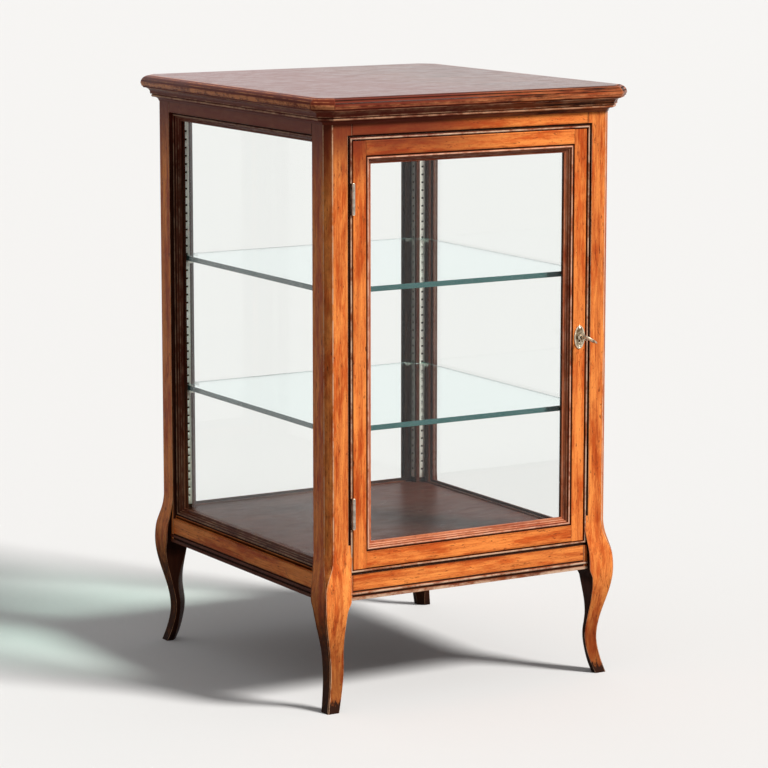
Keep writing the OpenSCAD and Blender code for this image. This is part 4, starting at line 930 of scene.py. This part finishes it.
# Door frame
# Two stiles run through and two rails are tenoned between them, all of the case's hardwood, with
# the outer arrises of the stiles rounded and old polish left round the rails.
door_wood = wood("door_wood", (1.0, 0.320, 0.072), (0.53, 0.104, 0.022), RUBBED_AND_HIGHLIGHT, sheen=0.1)
DOOR_EASE = 0.35
dress("door_stile_left", (0, 0, 1), 130, DOOR_EASE, "door", door_wood)
dress("door_stile_right", (0, 0, 1), 131, DOOR_EASE, "door", door_wood)
dress("door_rail_top", (1, 0, 0), 132, DOOR_EASE, "door", painted_light_wood, shows=(0, -1, 0))
dress("door_rail_bottom", (1, 0, 0), 133, DOOR_EASE, "door", door_wood, shows=(0, -1, 0))


# Door light
# A moulding of the same section as the fixed lights', but paler, since theirs carry painted shade, and
# flush with the frame, with a pane of 4 mm glass behind it and plain beads inside.
DOOR_LIGHT, DOOR_PANE_DEEP = (65, 236, 424.7, 814.6), 12
bm = bmesh.new()
mitred_frame(bm, pane_section, "front", DOOR_LIGHT, 0, 140)
light_wood = wood("light_wood", (0.58, 0.18, 0.075), (0.24, 0.055, 0.024), (0.76, 0.43, 0.29))
settle(bm, "door_moulding_timber", "door", ["door_moulding"], light_wood, sharp=35)
bm = bmesh.new()
door_bead = bead_section[1:4] + arc(8, 4, 2, 0, 90, 5, 0.3) + [(0, 6, -0.6)]
mitred_frame(bm, door_bead, "front", DOOR_LIGHT, DOOR_PANE_DEEP + PANE_T, 145)
settle(bm, "door_glazing_bead_timber", "door", ["door_glazing_bead"], shaded_inside_wood, sharp=35)
bm = bmesh.new()
slab(bm, (DOOR_LIGHT[0] + 1, DOOR_PANE_DEEP, DOOR_LIGHT[1] + 1),
     (DOOR_LIGHT[2] - 1, DOOR_PANE_DEEP + PANE_T, DOOR_LIGHT[3] - 1))
settle(bm, "door_pane_glass", "door", ["door_pane"], glass, sharp=20)


# Key
# A barrel key of tarnished steel, left in the lock: turned collars on the shank, an open oval bow
# forged on its end, and one plain bit that moves the bolt.
key_steel = metal("key_steel", (0.84, 0.74, 0.55), (0.05, 0.038, 0.025), 1.0, 0.2)
shank = [(0, -8.5, -1), (1.26, -8.5, -1), (1.26, -19, -1), (2.35, -19, 0.5), (2.5, -18.8, 0.5),
         (2.5, 1.6, -0.3), (2.55, 2.35, -0.9), (3.5, 2.5, 0.2), (4.05, 2.95, 0.9), (3.9, 3.7, 0.6),
         (3.1, 4.15, -1), (3.1, 4.4, -1), (3.75, 4.8, 0.9), (3.9, 5.5, 0.9), (3.4, 6.3, 0.6),
         (2.6, 6.8, -0.9), (2.15, 8.5, 0.1), (2.1, 12, 0.4), (2.2, 16, 0.1), (2.5, 18.4, -0.9),
         (3.1, 18.65, 0.5), (3.3, 19.3, 0.9), (3.1, 20.1, 0.5), (2.4, 20.5, -0.8), (2.3, 22.4, 0.2),
         (1.5, 23, 0), (0, 23.1, 0)]
bm = bmesh.new()
turned(bm, shank, (0, 0, 0), UP, 36)

# The bow is spun as a ring and drawn out to an oval, a little thicker at its sides.
BOW_Z, BOW_WIDE, BOW_HIGH = 29.5, 11, 6.25
bow = bmesh.new()
upended = Matrix.Rotation(math.pi / 2, 4, "X")
bmesh.ops.create_circle(bow, segments=14, radius=1, matrix=Matrix.Translation((3, 0, 0)) @ upended)
bmesh.ops.spin(bow, geom=bow.verts[:] + bow.edges[:], cent=(0, 0, 0), axis=UP, angle=math.tau, steps=56,
               use_merge=True)
bmesh.ops.remove_doubles(bow, verts=bow.verts, dist=0.0005)
relief = bow.loops.layers.float.new("relief")
for v in bow.verts:
    turn, away, lift = math.atan2(v.co.y, v.co.x), v.co.xy.length - 3, v.co.z
    across = Vector((math.cos(turn) / BOW_HIGH, math.sin(turn) / BOW_WIDE)).normalized()
    thick = away * (1.75 + 0.25 * abs(math.sin(turn)))
    v.co = (lift * 1.4, BOW_WIDE * math.sin(turn) + across.y * thick,
            BOW_Z - BOW_HIGH * math.cos(turn) - across.x * thick)
for loop in [loop for face in bow.faces for loop in face.loops]:
    loop[relief] = 0.9 if abs(loop.vert.co.x) > 1.0 else 0.1
join(bm, bow)
BIT_LOW, BIT_HIGH = (-1, 0.5, -18.8), (1, 7, -14.8)
slab(bm, BIT_LOW, BIT_HIGH, 0.15, 1)
KEY_TURNED = -59
bm.transform(Matrix.Translation((KEY_X, 0, KEY_Z)) @ Matrix.Rotation(math.radians(KEY_TURNED), 4, "Y")
             @ Matrix.Rotation(math.radians(90), 4, "X"))
settle(bm, "key_metal", "key", ["key"], key_steel, sharp=50)


# Studio
# A plain pale floor under soft light from all round, and one wide lamp high to the right of the
# front. The floor and the surroundings look pale where they are seen, but light the case plainly.
SEEN_FLOOR, HIDDEN_FLOOR, SURROUNDINGS = (0.78, 0.78, 0.78, 1), (0.16, 0.16, 0.16, 1), 0.29
LAMP_FROM, LAMP_STRENGTH, LAMP_WIDE = (0.50, -0.72, 0.72), 4.25, 14


def where_seen(tree):
    """One where a ray shows the surroundings: straight, mirrored or through glass."""
    path = shade(tree, "LightPath").outputs
    direct = sums(tree, path["Is Camera Ray"], path["Is Glossy Ray"], "MAXIMUM")
    return sums(tree, direct, path["Is Transmission Ray"], "MAXIMUM")


floor_paint, tree, shader = surface("floor_paint", Roughness=0.9)
tree.links.new(blend(tree, where_seen(tree), HIDDEN_FLOOR, SEEN_FLOOR), shader.inputs["Base Color"])
bm = bmesh.new()
bmesh.ops.create_grid(bm, x_segments=1, y_segments=1, size=60)
mesh = bpy.data.meshes.new("floor")
bm.to_mesh(mesh)
bm.free()
mesh.materials.append(floor_paint)
floor = bpy.data.objects.new("floor", mesh)
bpy.context.scene.collection.objects.link(floor)
floor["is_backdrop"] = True

lamp = bpy.data.lights.new("key_lamp", "SUN")
lamp.angle = math.radians(LAMP_WIDE)
lamp.energy = LAMP_STRENGTH
lamp.color = (1.0, 0.98, 0.95)
holder = bpy.data.objects.new("key_lamp", lamp)
bpy.context.scene.collection.objects.link(holder)
holder.rotation_euler = Vector(LAMP_FROM).to_track_quat("Z", "Y").to_euler()
world = bpy.data.worlds.new("studio")
bpy.context.scene.world = world
world.use_nodes = True
tree = world.node_tree
lifted = sums(tree, where_seen(tree), 1 - SURROUNDINGS, "MULTIPLY")
tree.links.new(sums(tree, lifted, SURROUNDINGS), tree.nodes["Background"].inputs["Strength"])
tree.nodes["Background"].inputs["Color"].default_value = (1, 1, 1, 1)
bpy.context.scene.view_settings.view_transform = "Standard"

low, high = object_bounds()
